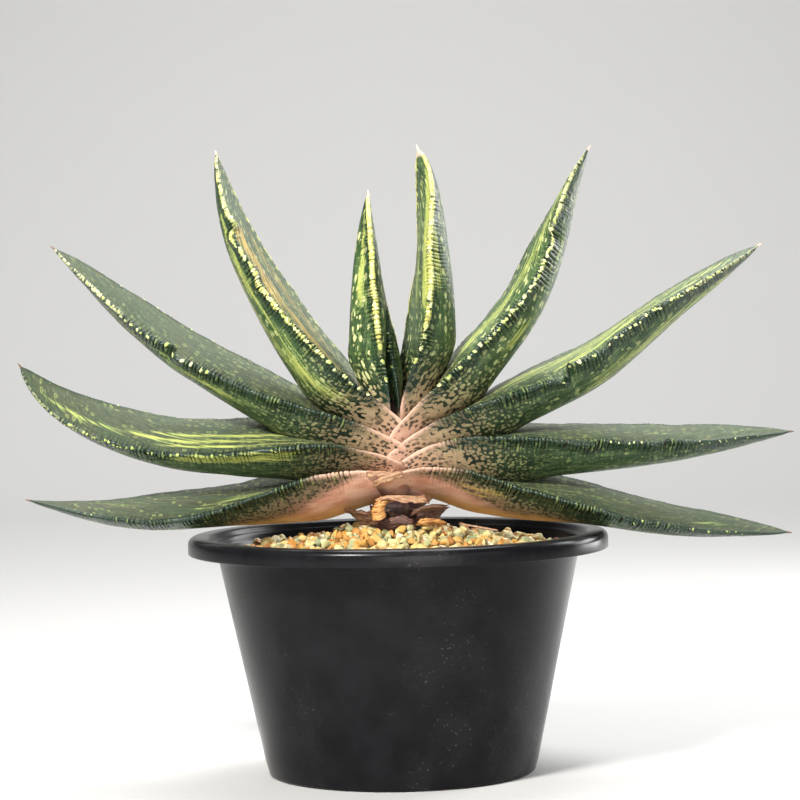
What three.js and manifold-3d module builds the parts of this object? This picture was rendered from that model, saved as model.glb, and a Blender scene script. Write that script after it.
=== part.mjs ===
// A potted gasteria: a flat fan of ten thick leaves and a young centre leaf on a short stem,
// in a round plastic nursery pot with a gravel top dressing.
// Millimetres, +Z up. The origin is the middle of the pot's flat underside.
// The fan of leaves lies in the X-Z plane, so that -Y is its front.

import * as THREE from 'three';
import { mergeVertices } from 'three/addons/utils/BufferGeometryUtils.js';
import Module from 'manifold-3d';

// Clearance between neighbouring pieces, and the wider one that curved leaves are cut with
const GAP = 0.3;
const LEAF_GAP = 0.4;
// Smallest detail left on a cut piece
const FINEST_DETAIL = 0.03;
const MERGE_DISTANCE = 0.0001;

// Pot
const POT_HEIGHT = 120;
const POT_BASE_RADIUS = 67;
const POT_TOP_RADIUS = 90.5;
const POT_WALL = 1.8;
const POT_FLOOR = 2.4;
const POT_SEGMENTS = 40;
const POT_FOOT_BEVEL = 2;
const LIP_RADIUS = 105;
const LIP_DEPTH = 8.5;
const LIP_THICKNESS = 3;
const LIP_SKIRT = 1.8;
const LIP_ROUND = 3.6;
const LIP_ROUND_STEPS = 4;
const LIP_INNER_RADIUS = 95;
const LIP_INNER_BEVEL = 2;
const LIP_SLOPE_DEPTH = 12;
const DRAIN_HOLES = 6;
const DRAIN_RADIUS = 4.5;
const DRAIN_CIRCLE = 46;
const DRAIN_SIDES = 10;

// Soil and gravel
const BED_EDGE_HEIGHT = 106.5;
const BED_MOUND = 12;
const BED_MOUND_SPREAD = 48;
const BED_CLEARANCE = 0.9;
const BED_RINGS = [62, 36, 16];
const BED_SEGMENTS = 30;
const GRAVEL_BED = 3;
const STONE_COUNT = 160;
const STONE_SIZE = 10.6;
const STONE_HEIGHT = 3;
const STONE_ROOT = 1.6;
const STONE_SINK = 0.3;
const STONE_SEED = 7;
const STONE_SIZE_RANGE = 0.25;
const STONE_UNEVENNESS = 0.2;
const STONE_PEAK_LEAN = 0.3;
const STONE_HEIGHT_CHANGE = 0.3;
const STONE_WALL_CLEARANCE = 0.62;
const STONE_SHIFT = 6;
const GOLDEN_ANGLE = Math.PI * (3 - Math.sqrt(5));

// Stem: height, half width along X and half width along Y
const STEM_PROFILE = [
  [88, 5, 5],
  [92, 8, 8],
  [112, 10, 10],
  [119, 13.5, 13],
  [125, 14.5, 13.5],
  [127, 13.2, 12.6],
  [130, 14.2, 13.4],
  [132, 12.8, 12.2],
  [137, 12.6, 12.2],
  [144, 9.5, 10],
  [156, 7.5, 9],
  [170, 6, 7.5],
  [182, 4.6, 5.5],
  [188, 2.4, 3],
];
const STEM_SEGMENTS = 16;
const STEM_POINT = 1;

// Leaves, from the oldest and lowest to the youngest. A leaf's spine starts at base [x, z] beside
// the stem and runs its length outwards; lean gives its angle from upright at equal steps from
// base to tip, and roll how far its upper face turns to the front, both in degrees. The heel is
// the sheath behind the base, which clasps the stem.
const LEAVES = [
  {
    name: 'leaf_right_1', side: 1, base: [-5, 145.4], length: 203, lean: [70, 102, 98, 105, 99, 98],
    roll: [12, 13, 18, 25], width: 42, baseWidth: 46, under: 19, sway: -8, fullness: 1.5,
    channel: [9, 8, 0.5, 0.2, 0], heel: 8, heelLean: 76,
  },
  {
    name: 'leaf_left_1', side: -1, base: [2, 143], length: 188, lean: [82, 96, 95, 97, 85, 80],
    roll: [3, 7, 23, 4], width: 41, baseWidth: 43, under: 18, sway: 6, fullness: 1.5,
    channel: [9, 8, 0.5, 0.2, 0], heel: 8, heelLean: 84,
  },
  {
    name: 'leaf_right_2', side: 1, base: [9, 143], length: 195, lean: [41, 76, 89, 91, 89, 91],
    roll: [-12, 7, 13, 20], width: 44, baseWidth: 40.5, under: 24, sway: 4, fullness: 1.8,
    channel: [11, 4.5, 0.5, 0.2, 0], heel: 12, heelLean: 60,
  },
  {
    name: 'leaf_left_2', side: -1, base: [-2, 153], length: 198, lean: [58, 82, 89, 80, 65, 37],
    roll: [18, 19, 31, 54], width: 45, baseWidth: 38, under: 22, sway: -4, fullness: 1.8,
    channel: [11, 4.5, 0.5, 0.2, 0], heel: 8, heelLean: 62,
  },
  {
    name: 'leaf_right_3', side: 1, base: [9, 151.5], length: 206, lean: [36, 57, 67, 55, 60, 63],
    roll: [-18, 9, 6, 18], width: 44, baseWidth: 35.5, under: 20, sway: -4, fullness: 2.4,
    channel: [10, 2, 0.5, 0.5, 0], heel: 14, heelLean: 46,
  },
  {
    name: 'leaf_left_3', side: -1, base: [-6, 156], length: 197, lean: [49, 60, 61, 57, 51, 53],
    roll: [-6, 13, 22, 24], width: 44, baseWidth: 33, under: 19, sway: 3, fullness: 1.8,
    channel: [11, 4.5, 0.5, 0.2, 0], heel: 12, heelLean: 52,
  },
  {
    name: 'leaf_right_4', side: 1, base: [8, 166], length: 171, lean: [28, 36, 42, 28, 24, 36],
    roll: [0, 8, 15, -10], width: 40, baseWidth: 30.5, under: 20, sway: 3, fullness: 2.1,
    channel: [11, 2.5, 0.5, 0.2, 0], heel: 15, heelLean: 32,
  },
  {
    name: 'leaf_left_4', side: -1, base: [-6, 171], length: 163, lean: [38, 38, 34, 31, 21, 12],
    roll: [2, 10, 18, 18], width: 42, baseWidth: 28, under: 21, sway: -3, fullness: 1.7,
    channel: [11, 4.5, 0.5, 0.2, 0], heel: 14, heelLean: 34,
  },
  {
    name: 'leaf_right_5', side: 1, base: [12, 187], length: 125, lean: [5, 4, 2, 2, 0, -16],
    roll: [11, 14, 11, 28], width: 37, baseWidth: 25.5, under: 18, sway: -3, fullness: 1.8,
    channel: [11, 4.5, 0.5, 0.2, 0], heel: 18, heelLean: 24, widthFullness: 3.8,
  },
  {
    name: 'leaf_left_5', side: -1, base: [-10, 185], length: 105, lean: [-12, -4, 3, 4, 4, 4],
    roll: [15, 14, 4, 5], width: 32, baseWidth: 23, under: 18, sway: 3, fullness: 1.8,
    channel: [11, 4.5, 0.5, 0.2, 0], heel: 18, heelLean: 12,
  },
  {
    name: 'leaf_centre', side: -1, base: [1, 186], length: 48, lean: [4, 4, 5, 6, 6, 6],
    roll: [6, 6, 6, 6], width: 15, baseWidth: 13, under: 5, sway: 5, fullness: 1.8,
    channel: [1.5, 1, 0.5, 0.2, 0], heel: 12, heelLean: 0,
  },
];
const LEAF_UPPER_FACE = 4;
const STATION_SPACING = 8.6;
const FEWEST_STATIONS = 9;
const HEEL_STATIONS = 2;
const HEEL_ROUNDING = 0.75;
const LEAF_TIP_START = 0.985;
const LEAF_FULL_WIDTH_AT = 0.28;
const LEAF_FULL_DEPTH_AT = 0.25;
const LEAF_BASE_DEPTH = 0.45;
const LEAF_EDGE = 0.25;
const WIDTH_FULLNESS = 2.6;
const MARGIN_FULLNESS = 4;
const TIP_ROUNDNESS = 0.8;
const SWAY_POWER = 1.6;
const SPINE_STEPS = 120;
const POINT_LENGTH = 2;
const SECTION_POWER = 1.3;
const SHARPEST_MITRE = 0.35;
const SECTION_UPPER = [38, 90, 142];
const SECTION_UNDER = [205, 237, 270, 303, 335];
const CORD_ANGLE = 16;
const MARGIN_CORD = 0.8;
const BEAD_HEIGHT = 0.5;
const BEADS_FROM = 0.35;
const CRINKLE_HEIGHT = 0.2;

// Dried sheaths of old leaves round the foot of the stem: angles in degrees round the stem,
// where 270 is the front, heights in mm, and how far the free edge flares out
const DRY_SHEATHS = [
  { name: 'dry_sheath_1', from: 236, to: 310, low: 125, high: 136, offset: 0, flare: 3.4, tilt: -2 },
  { name: 'dry_sheath_2', from: 318, to: 382, low: 125, high: 133, offset: 0, flare: 5, tilt: -3 },
  { name: 'dry_sheath_3', from: 168, to: 226, low: 124.5, high: 132, offset: 0, flare: 5, tilt: 2 },
  { name: 'dry_sheath_4', from: 248, to: 300, low: 122.7, high: 129, offset: 5, flare: 3, tilt: 1 },
  { name: 'dry_sheath_5', from: 40, to: 120, low: 125, high: 133, offset: 0, flare: 4, tilt: 2 },
];
const SHEATH_FOOT = [14.85, 13.85];
const SHEATH_THICKNESS = 0.9;
const SHEATH_STEPS = 8;
const SHEATH_ROWS = 3;
const SHEATH_END_DROP = 3;
const SHEATH_END_FLARE = 0.6;

// Colours
const LEAF_GREEN = 0x3f5a3c;
const YOUNG_LEAF_GREEN = 0x24351f;
const POT_BLACK = 0x0c0c0e;
const SOIL_BROWN = 0x3a2b1e;
const GRAVEL_TAN = 0xc9a868;
const STEM_BROWN = 0x4a2c1a;
const SHEATH_TAN = 0xb9824e;

const wasm = await Module();
wasm.setup();

const radians = THREE.MathUtils.degToRad;
const smoothstep = THREE.MathUtils.smoothstep;

// A closed mesh from vertices and triangles
function meshFrom(vertices, triangles) {
  const geometry = new THREE.BufferGeometry();
  geometry.setAttribute('position', new THREE.Float32BufferAttribute(vertices.flat(), 3));
  geometry.setIndex(triangles.flat());
  return geometry;
}

// A manifold solid from a closed geometry
function solid(geometry) {
  const bare = geometry.clone();
  bare.deleteAttribute('normal');
  bare.deleteAttribute('uv');
  const merged = mergeVertices(bare, MERGE_DISTANCE);
  return new wasm.Manifold(new wasm.Mesh({
    numProp: 3,
    vertProperties: new Float32Array(merged.attributes.position.array),
    triVerts: new Uint32Array(merged.index.array),
  }));
}

// The geometry of a manifold solid's largest body, with any sealed hollow filled
function largestBody(manifold) {
  const bodies = manifold.simplify(FINEST_DETAIL).decompose();
  const largest = bodies.reduce((best, body) => (body.volume() > best.volume() ? body : best));
  const mesh = largest.getMesh();
  const geometry = new THREE.BufferGeometry();
  geometry.setAttribute('position', new THREE.Float32BufferAttribute(mesh.vertProperties, 3));
  geometry.setIndex(new THREE.Uint32BufferAttribute(mesh.triVerts, 1));
  return geometry;
}

// A smooth value at t, from 0 to 1, through evenly spaced values
function through(values, t) {
  const last = values.length - 1;
  const place = THREE.MathUtils.clamp(t, 0, 1) * last;
  const i = Math.min(Math.floor(place), last - 1);
  const f = place - i;
  const before = i > 0 ? values[i - 1] : 2 * values[0] - values[1];
  const after = i + 2 <= last ? values[i + 2] : 2 * values[last] - values[last - 1];
  const [a, b] = [values[i], values[i + 1]];
  return 0.5 * (2 * a + (b - before) * f + (2 * before - 5 * a + 4 * b - after) * f * f
    + (3 * a - before - 3 * b + after) * f * f * f);
}

// How much of the full size is left at t, where the leaf draws in to its tip
function taper(t, power) {
  return Math.max(1 - Math.max(t, 0) ** power, 0) ** TIP_ROUNDNESS;
}

// The spine's point and lean at a distance from its base, where a negative one is in the heel
function spineAt(leaf, distance) {
  const [baseX, baseZ] = leaf.base;
  if (distance < 0) {
    const middle = radians((leaf.heelLean + leaf.lean[0]) / 2);
    return {
      x: baseX + distance * Math.sin(middle) * leaf.side,
      z: baseZ + distance * Math.cos(middle),
      lean: radians(THREE.MathUtils.lerp(leaf.lean[0], leaf.heelLean, -distance / leaf.heel)),
      t: 0,
    };
  }
  const step = leaf.length / SPINE_STEPS;
  let x = baseX;
  let z = baseZ;
  for (let run = 0; run < distance - 1e-6; run += step) {
    const part = Math.min(step, distance - run);
    const lean = radians(through(leaf.lean, (run + part / 2) / leaf.length));
    x += part * Math.sin(lean) * leaf.side;
    z += part * Math.cos(lean);
  }
  const t = distance / leaf.length;
  return { x, z, lean: radians(through(leaf.lean, t)), t };
}

// The section's points at one station, as across and up offsets from the spine, with its size
// drawn in where the heel rounds off. They go round from the back margin over the upper face
// to the front margin and back below.
function section(leaf, t, station, draw) {
  const widen = smoothstep(t, 0, LEAF_FULL_WIDTH_AT);
  const deepen = THREE.MathUtils.lerp(LEAF_BASE_DEPTH, 1, smoothstep(t, 0, LEAF_FULL_DEPTH_AT));
  const width = THREE.MathUtils.lerp(leaf.baseWidth, leaf.width, widen);
  const half = draw * ((width / 2) * taper(t, leaf.widthFullness ?? WIDTH_FULLNESS) + LEAF_EDGE);
  const depth = draw * deepen * taper(t, leaf.fullness);
  const upper = LEAF_UPPER_FACE * depth + LEAF_EDGE / 2;
  const under = leaf.under * depth + LEAF_EDGE / 2;
  const channel = draw * through(leaf.channel, t);
  const beaded = t > BEADS_FROM ? BEAD_HEIGHT : CRINKLE_HEIGHT;
  const bead = (station % 2 === 0 ? beaded : -beaded) * taper(t, MARGIN_FULLNESS);
  const cord = MARGIN_CORD * taper(t, MARGIN_FULLNESS);

  const point = (degrees) => {
    const c = Math.cos(radians(degrees));
    const s = Math.sin(radians(degrees));
    const reach = Math.abs(s) ** SECTION_POWER;
    const up = s > 0 ? upper * reach : -under * reach;
    return [half * c, up + channel * c * c];
  };
  const margin = (direction) => {
    const top = point(direction > 0 ? CORD_ANGLE : 180 - CORD_ANGLE);
    const edge = point(direction > 0 ? 0 : 180);
    return {
      top: [top[0], top[1] + cord + bead / 2],
      edge: [edge[0] + direction * (cord / 2 + bead), edge[1]],
    };
  };
  const back = margin(1);
  const front = margin(-1);
  return [
    back.edge, back.top, ...SECTION_UPPER.map(point), front.top, front.edge,
    ...SECTION_UNDER.map(point),
  ];
}

// A closed outline moved outwards by a distance, square to its sides
function outset(points, distance) {
  const count = points.length;
  const normals = points.map(([x, y], i) => {
    const [nextX, nextY] = points[(i + 1) % count];
    const length = Math.hypot(nextX - x, nextY - y) || 1;
    return [(nextY - y) / length, (x - nextX) / length];
  });
  return points.map(([x, y], i) => {
    const [ax, ay] = normals[(i + count - 1) % count];
    const [bx, by] = normals[i];
    const mitre = distance / Math.max(1 + ax * bx + ay * by, SHARPEST_MITRE);
    return [x + (ax + bx) * mitre, y + (ay + by) * mitre];
  });
}

// The closed surface of a leaf, grown all round where it is used to cut its neighbours
function leafSolid(leaf, grow = 0) {
  const vertices = [];
  const triangles = [];
  const heelLength = leaf.heel + grow;
  const outer = Math.max(Math.round(leaf.length / STATION_SPACING), FEWEST_STATIONS);
  const stations = HEEL_STATIONS + outer;
  let count = 0;
  for (let station = 0; station <= stations; station += 1) {
    const step = station - HEEL_STATIONS;
    const inHeel = step < 0 ? -step / HEEL_STATIONS : 0;
    const beyond = (Math.max(step, 0) / outer) * leaf.length * LEAF_TIP_START;
    const distance = beyond - inHeel * heelLength;
    const spine = spineAt(leaf, distance);
    const draw = Math.sqrt(1 - HEEL_ROUNDING * inHeel ** 2);
    const y = leaf.sway * spine.t ** SWAY_POWER;
    const roll = radians(through(leaf.roll, spine.t));
    const normal = [-Math.cos(spine.lean) * leaf.side, Math.sin(spine.lean)];
    const points = outset(section(leaf, spine.t, station, draw), grow);
    count = points.length;
    for (const [across, up] of points) {
      const acrossY = across * Math.cos(roll) - up * Math.sin(roll);
      const alongNormal = across * Math.sin(roll) + up * Math.cos(roll);
      vertices.push([
        spine.x + alongNormal * normal[0],
        y + acrossY,
        spine.z + alongNormal * normal[1],
      ]);
    }
  }
  const end = spineAt(leaf, leaf.length);
  const reach = POINT_LENGTH + grow;
  vertices.push([
    end.x + reach * Math.sin(end.lean) * leaf.side, leaf.sway, end.z + reach * Math.cos(end.lean),
  ]);
  const tip = vertices.length - 1;

  const turn = leaf.side > 0 ? (a, b, c) => [a, c, b] : (a, b, c) => [a, b, c];
  for (let station = 0; station < stations; station += 1) {
    for (let i = 0; i < count; i += 1) {
      const a = station * count + i;
      const b = station * count + ((i + 1) % count);
      triangles.push(turn(a, a + count, b));
      triangles.push(turn(b, a + count, b + count));
    }
  }
  const lastRing = stations * count;
  for (let i = 0; i < count; i += 1) {
    const next = (i + 1) % count;
    triangles.push(turn(lastRing + i, tip, lastRing + next));
  }
  for (let i = 0; i < count / 2; i += 1) {
    const across = (count - i) % count;
    const beyond = count - i - 1;
    if (i + 1 !== beyond) {
      triangles.push(turn(i, i + 1, beyond));
    }
    if (i !== across) {
      triangles.push(turn(i, beyond, across));
    }
  }
  return solid(meshFrom(vertices, triangles));
}

// The stem: stacked elliptical rings
function stemSolid(grow = 0) {
  const vertices = [];
  const triangles = [];
  for (const [z, halfX, halfY] of STEM_PROFILE) {
    for (let i = 0; i < STEM_SEGMENTS; i += 1) {
      const angle = (i / STEM_SEGMENTS) * 2 * Math.PI;
      vertices.push([(halfX + grow) * Math.cos(angle), (halfY + grow) * Math.sin(angle), z]);
    }
  }
  const rings = STEM_PROFILE.length;
  const lowest = STEM_PROFILE[0][0] - grow;
  const highest = STEM_PROFILE[rings - 1][0] + STEM_POINT + grow;
  vertices.push([0, 0, lowest], [0, 0, highest]);
  const bottom = vertices.length - 2;
  const top = vertices.length - 1;
  for (let i = 0; i < STEM_SEGMENTS; i += 1) {
    const next = (i + 1) % STEM_SEGMENTS;
    triangles.push([bottom, next, i]);
    for (let ring = 0; ring < rings - 1; ring += 1) {
      const low = ring * STEM_SEGMENTS;
      const high = low + STEM_SEGMENTS;
      triangles.push([low + i, low + next, high + i]);
      triangles.push([low + next, high + next, high + i]);
    }
    const last = (rings - 1) * STEM_SEGMENTS;
    triangles.push([last + i, last + next, top]);
  }
  return solid(meshFrom(vertices, triangles));
}

// A solid turned round the Z axis from a profile of [radius, height] points, going up outside
function turned(profile, segments) {
  const geometry = new THREE.LatheGeometry(profile.map(([r, z]) => new THREE.Vector2(r, z)), segments);
  geometry.rotateX(Math.PI / 2);
  return solid(geometry);
}

// The pot's outer radius at a height below its lip
function potRadius(z) {
  return THREE.MathUtils.lerp(POT_BASE_RADIUS, POT_TOP_RADIUS, z / (POT_HEIGHT - LIP_DEPTH));
}

// The pot: a tapered wall with a rolled lip that turns down into an open skirt
function potSolid() {
  const lipBottom = POT_HEIGHT - LIP_DEPTH;
  const underLip = POT_HEIGHT - LIP_THICKNESS;
  const skirtInside = LIP_RADIUS - LIP_SKIRT;
  const slopeFoot = POT_HEIGHT - LIP_SLOPE_DEPTH;
  const round = [];
  for (let i = 0; i <= LIP_ROUND_STEPS; i += 1) {
    const angle = (i / LIP_ROUND_STEPS) * (Math.PI / 2);
    round.push([
      LIP_RADIUS - LIP_ROUND * (1 - Math.cos(angle)),
      POT_HEIGHT - LIP_ROUND * (1 - Math.sin(angle)),
    ]);
  }
  const profile = [
    [0, 0],
    [POT_BASE_RADIUS - POT_FOOT_BEVEL, 0],
    [potRadius(POT_FOOT_BEVEL), POT_FOOT_BEVEL],
    [potRadius(lipBottom), lipBottom],
    [potRadius(underLip), underLip],
    [skirtInside - 1, underLip],
    [skirtInside, underLip - 1],
    [skirtInside, lipBottom],
    [LIP_RADIUS, lipBottom],
    ...round,
    [LIP_INNER_RADIUS, POT_HEIGHT],
    [LIP_INNER_RADIUS - LIP_INNER_BEVEL, POT_HEIGHT - LIP_INNER_BEVEL],
    [potRadius(slopeFoot) - POT_WALL, slopeFoot],
    [potRadius(POT_FLOOR) - POT_WALL, POT_FLOOR],
    [0, POT_FLOOR],
  ];
  let pot = turned(profile, POT_SEGMENTS);
  for (let i = 0; i < DRAIN_HOLES; i += 1) {
    const angle = (i / DRAIN_HOLES) * 2 * Math.PI;
    const hole = new THREE.CylinderGeometry(DRAIN_RADIUS, DRAIN_RADIUS, POT_FLOOR * 3, DRAIN_SIDES);
    hole.rotateX(Math.PI / 2);
    hole.translate(DRAIN_CIRCLE * Math.cos(angle), DRAIN_CIRCLE * Math.sin(angle), POT_FLOOR / 2);
    pot = pot.subtract(solid(hole));
  }
  return pot;
}

// The mounded top of the soil at a distance from the stem
function bedHeight(radius) {
  return BED_EDGE_HEIGHT + BED_MOUND * Math.exp(-((radius / BED_MOUND_SPREAD) ** 2));
}

// The bed's outer radius at a height, clear of the pot's faceted wall
function insideRadius(z) {
  return potRadius(z) - POT_WALL - BED_CLEARANCE;
}

// The mounded surface of the bed, lifted, as a profile from the pot's wall in to the axis
function bedProfile(lift) {
  const radii = [insideRadius(BED_EDGE_HEIGHT), ...BED_RINGS, 0];
  return radii.map((radius) => [radius, bedHeight(radius) + lift]);
}

// Soil from the pot's floor to the mound, cut by the stem's foot, which stands in a plain hole
function soilSolid() {
  const floor = POT_FLOOR + GAP;
  const profile = [[0, floor], [insideRadius(floor), floor], ...bedProfile(0)];
  return turned(profile, BED_SEGMENTS).subtract(stemSolid(GAP));
}

// Seeded random numbers from 0 to 1
function randomFrom(seed) {
  let state = seed;
  return () => {
    state = (state * 16807) % 2147483647;
    return state / 2147483647;
  };
}

// One stone: an uneven four-sided pebble with a short root
function stoneSolid(size, random) {
  const stone = new THREE.OctahedronGeometry(1, 0);
  const corners = stone.attributes.position;
  const vary = (amount) => 1 + amount * (2 * random() - 1);
  const lean = () => size * STONE_PEAK_LEAN * (random() - 0.5);
  const reach = Array.from({ length: 4 }, () => (size / 2) * vary(STONE_UNEVENNESS));
  const peak = [lean(), lean()];
  const height = STONE_HEIGHT * vary(STONE_HEIGHT_CHANGE);
  for (let i = 0; i < corners.count; i += 1) {
    const x = Math.round(corners.getX(i));
    const y = Math.round(corners.getY(i));
    const z = Math.round(corners.getZ(i));
    if (z > 0) {
      corners.setXYZ(i, peak[0], peak[1], height);
    } else if (z < 0) {
      corners.setXYZ(i, 0, 0, -STONE_ROOT);
    } else {
      const side = x !== 0 ? 1 - x : 2 - y;
      corners.setXYZ(i, x * reach[side], y * reach[side], -STONE_SINK);
    }
  }
  stone.rotateZ(random() * Math.PI);
  return stone;
}

// Gravel: a bed over the soil with stones sunk into it, spread on a jittered spiral,
// with a plain hole for the stem
function gravelSolid() {
  const random = randomFrom(STONE_SEED);
  let gravel = turned([...bedProfile(GAP).reverse(), ...bedProfile(GRAVEL_BED)], BED_SEGMENTS);
  const edge = insideRadius(BED_EDGE_HEIGHT) - STONE_SIZE * STONE_WALL_CLEARANCE;
  for (let i = 0; i < STONE_COUNT; i += 1) {
    const radius = edge * Math.sqrt((i + 0.5) / STONE_COUNT);
    const shift = (random() - 0.5) * STONE_SHIFT;
    const angle = i * GOLDEN_ANGLE + shift / Math.max(radius, STONE_SIZE);
    const smallest = 1 - STONE_SIZE_RANGE;
    const stone = stoneSolid(STONE_SIZE * THREE.MathUtils.lerp(smallest, 1, random()), random);
    stone.translate(radius * Math.cos(angle), radius * Math.sin(angle), bedHeight(radius) + GRAVEL_BED);
    gravel = gravel.add(solid(stone));
  }
  return gravel.subtract(stemSolid(GAP));
}

// A dried sheath: a thin curved shell that hugs the stem and flares at its upper edge
function sheathSolid(sheath) {
  const vertices = [];
  const triangles = [];
  const rows = SHEATH_ROWS;
  const columns = SHEATH_STEPS + 1;
  for (const shell of [0, SHEATH_THICKNESS]) {
    for (let row = 0; row < rows; row += 1) {
      const v = row / (rows - 1);
      for (let column = 0; column < columns; column += 1) {
        const u = column / SHEATH_STEPS;
        const angle = radians(THREE.MathUtils.lerp(sheath.from, sheath.to, u));
        const middle = Math.sin(Math.PI * u);
        const out = sheath.offset + shell + sheath.flare * v * v
          * THREE.MathUtils.lerp(SHEATH_END_FLARE, 1, middle);
        const top = sheath.high - SHEATH_END_DROP * (1 - middle);
        vertices.push([
          (SHEATH_FOOT[0] + out) * Math.cos(angle),
          (SHEATH_FOOT[1] + out) * Math.sin(angle),
          THREE.MathUtils.lerp(sheath.low, top, v) + sheath.tilt * (u - 0.5) * v,
        ]);
      }
    }
  }
  const layer = rows * columns;
  const quad = (a, b, c, d) => triangles.push([a, b, c], [a, c, d]);
  for (let row = 0; row < rows - 1; row += 1) {
    for (let column = 0; column < columns - 1; column += 1) {
      const a = row * columns + column;
      quad(a, a + columns, a + columns + 1, a + 1);
      quad(layer + a, layer + a + 1, layer + a + columns + 1, layer + a + columns);
    }
  }
  const top = (rows - 1) * columns;
  for (let column = 0; column < columns - 1; column += 1) {
    quad(column, column + 1, layer + column + 1, layer + column);
    quad(top + column + 1, top + column, layer + top + column, layer + top + column + 1);
  }
  for (let row = 0; row < rows - 1; row += 1) {
    const a = row * columns;
    const b = a + columns - 1;
    quad(a + columns, a, layer + a, layer + a + columns);
    quad(b, b + columns, layer + b + columns, layer + b);
  }
  return solid(meshFrom(vertices, triangles));
}

// The assembly
const plant = new THREE.Group();

function place(name, manifold, color, roughness) {
  const material = new THREE.MeshStandardMaterial({ color, roughness, metalness: 0 });
  const mesh = new THREE.Mesh(largestBody(manifold), material);
  mesh.name = name;
  plant.add(mesh);
}

place('pot', potSolid(), POT_BLACK, 0.32);
place('soil', soilSolid(), SOIL_BROWN, 0.95);
place('gravel', gravelSolid(), GRAVEL_TAN, 0.85);
place('stem', stemSolid(), STEM_BROWN, 0.85);

// Each leaf is cut by the stem and by every younger leaf that it clasps
const stemClearance = stemSolid(GAP);
const clearances = LEAVES.map((leaf) => leafSolid(leaf, LEAF_GAP));
const allLeaves = clearances.reduce((sum, leaf) => sum.add(leaf), stemClearance);
LEAVES.forEach((leaf, index) => {
  let body = leafSolid(leaf).subtract(stemClearance);
  for (const younger of clearances.slice(index + 1)) {
    body = body.subtract(younger);
  }
  place(leaf.name, body, leaf.name === 'leaf_centre' ? YOUNG_LEAF_GREEN : LEAF_GREEN, 0.45);
});

for (const sheath of DRY_SHEATHS) {
  place(sheath.name, sheathSolid(sheath).subtract(allLeaves), SHEATH_TAN, 0.8);
}

export default plant;
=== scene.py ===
import math

import bpy
import numpy as np
from mathutils import Matrix, Vector


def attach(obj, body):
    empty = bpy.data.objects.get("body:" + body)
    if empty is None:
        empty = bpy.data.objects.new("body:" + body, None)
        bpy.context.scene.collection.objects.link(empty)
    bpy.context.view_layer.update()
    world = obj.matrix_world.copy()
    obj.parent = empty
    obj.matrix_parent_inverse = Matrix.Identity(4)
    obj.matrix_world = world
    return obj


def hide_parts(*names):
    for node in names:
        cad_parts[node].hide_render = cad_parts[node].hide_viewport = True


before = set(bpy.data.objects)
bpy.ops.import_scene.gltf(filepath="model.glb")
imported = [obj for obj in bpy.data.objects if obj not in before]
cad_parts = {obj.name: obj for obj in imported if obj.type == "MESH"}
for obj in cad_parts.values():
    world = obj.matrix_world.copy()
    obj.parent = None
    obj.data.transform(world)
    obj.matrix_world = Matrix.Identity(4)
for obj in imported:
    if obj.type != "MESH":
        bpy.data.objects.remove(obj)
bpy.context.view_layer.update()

# A potted gasteria: ten thick leaves in a flat fan, a young centre leaf, a short stem with dried
# sheaths, a gravel top dressing and a black nursery pot. Lengths here are in millimetres, in the
# frame's axes, and become metres only where a mesh is made.

MM = 0.001

# Pot
POT_HEIGHT = 120
POT_BASE_RADIUS = 67
POT_TOP_RADIUS = 90.5
POT_WALL = 1.8
POT_FLOOR = 2.4
POT_FOOT_BEVEL = 2
POT_SEGMENTS = 180
POT_CREASE = 40
LIP_RADIUS = 105
LIP_DEPTH = 8.5
LIP_THICKNESS = 3
LIP_SKIRT = 1.8
LIP_ROUND = 3.6
LIP_INNER_RADIUS = 95
LIP_SLOPE_DEPTH = 12
LIP_FILLET = 1.2
LIP_EDGE = 0.5
LIP_INNER_ROUND = 2.2
DRAIN_HOLES = 6
DRAIN_RADIUS = 4.5
DRAIN_CIRCLE = 46
DRAIN_BACK_POINTS = 8
FLOOR_RING = DRAIN_CIRCLE + 16

# Gravel
BED_EDGE_HEIGHT = 106.5
BED_MOUND = 12
BED_MOUND_SPREAD = 48
GRAVEL_BED = 3
BED_RADIUS = 87
BED_HOLE = 13
BED_RINGS = 60
BED_SIDES = 140
GRAIN_SPACING = 4.3
GRAIN_SEED = 11
GRAIN_JITTER = 1.1
GRAIN_SIZES = (1.8, 3.2)
GRAIN_STEPS = 3
GRAIN_CUTS = 7
GRAIN_CUT_DEPTHS = (0.4, 0.78)
GRAIN_STRETCH = (0.75, 1.3)
GRAIN_CREASE = 30
LAYER_HEIGHTS = (0.4, 2.7)
LOOSE_GRAINS = 330
STEM_CLEARANCE = (14.2, 13.4)

# Stem: height, half width along X and half width along Y
STEM_PROFILE = [
    [88, 5, 5], [92, 8, 8], [112, 10, 10], [119, 13.5, 13], [125, 14.5, 13.5],
    [127, 13.2, 12.6], [130, 14.2, 13.4], [132, 12.8, 12.2], [137, 12.6, 12.2],
    [144, 9.5, 10], [156, 7.5, 9], [170, 6, 7.5], [182, 4.6, 5.5], [188, 2.4, 3],
]

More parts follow.
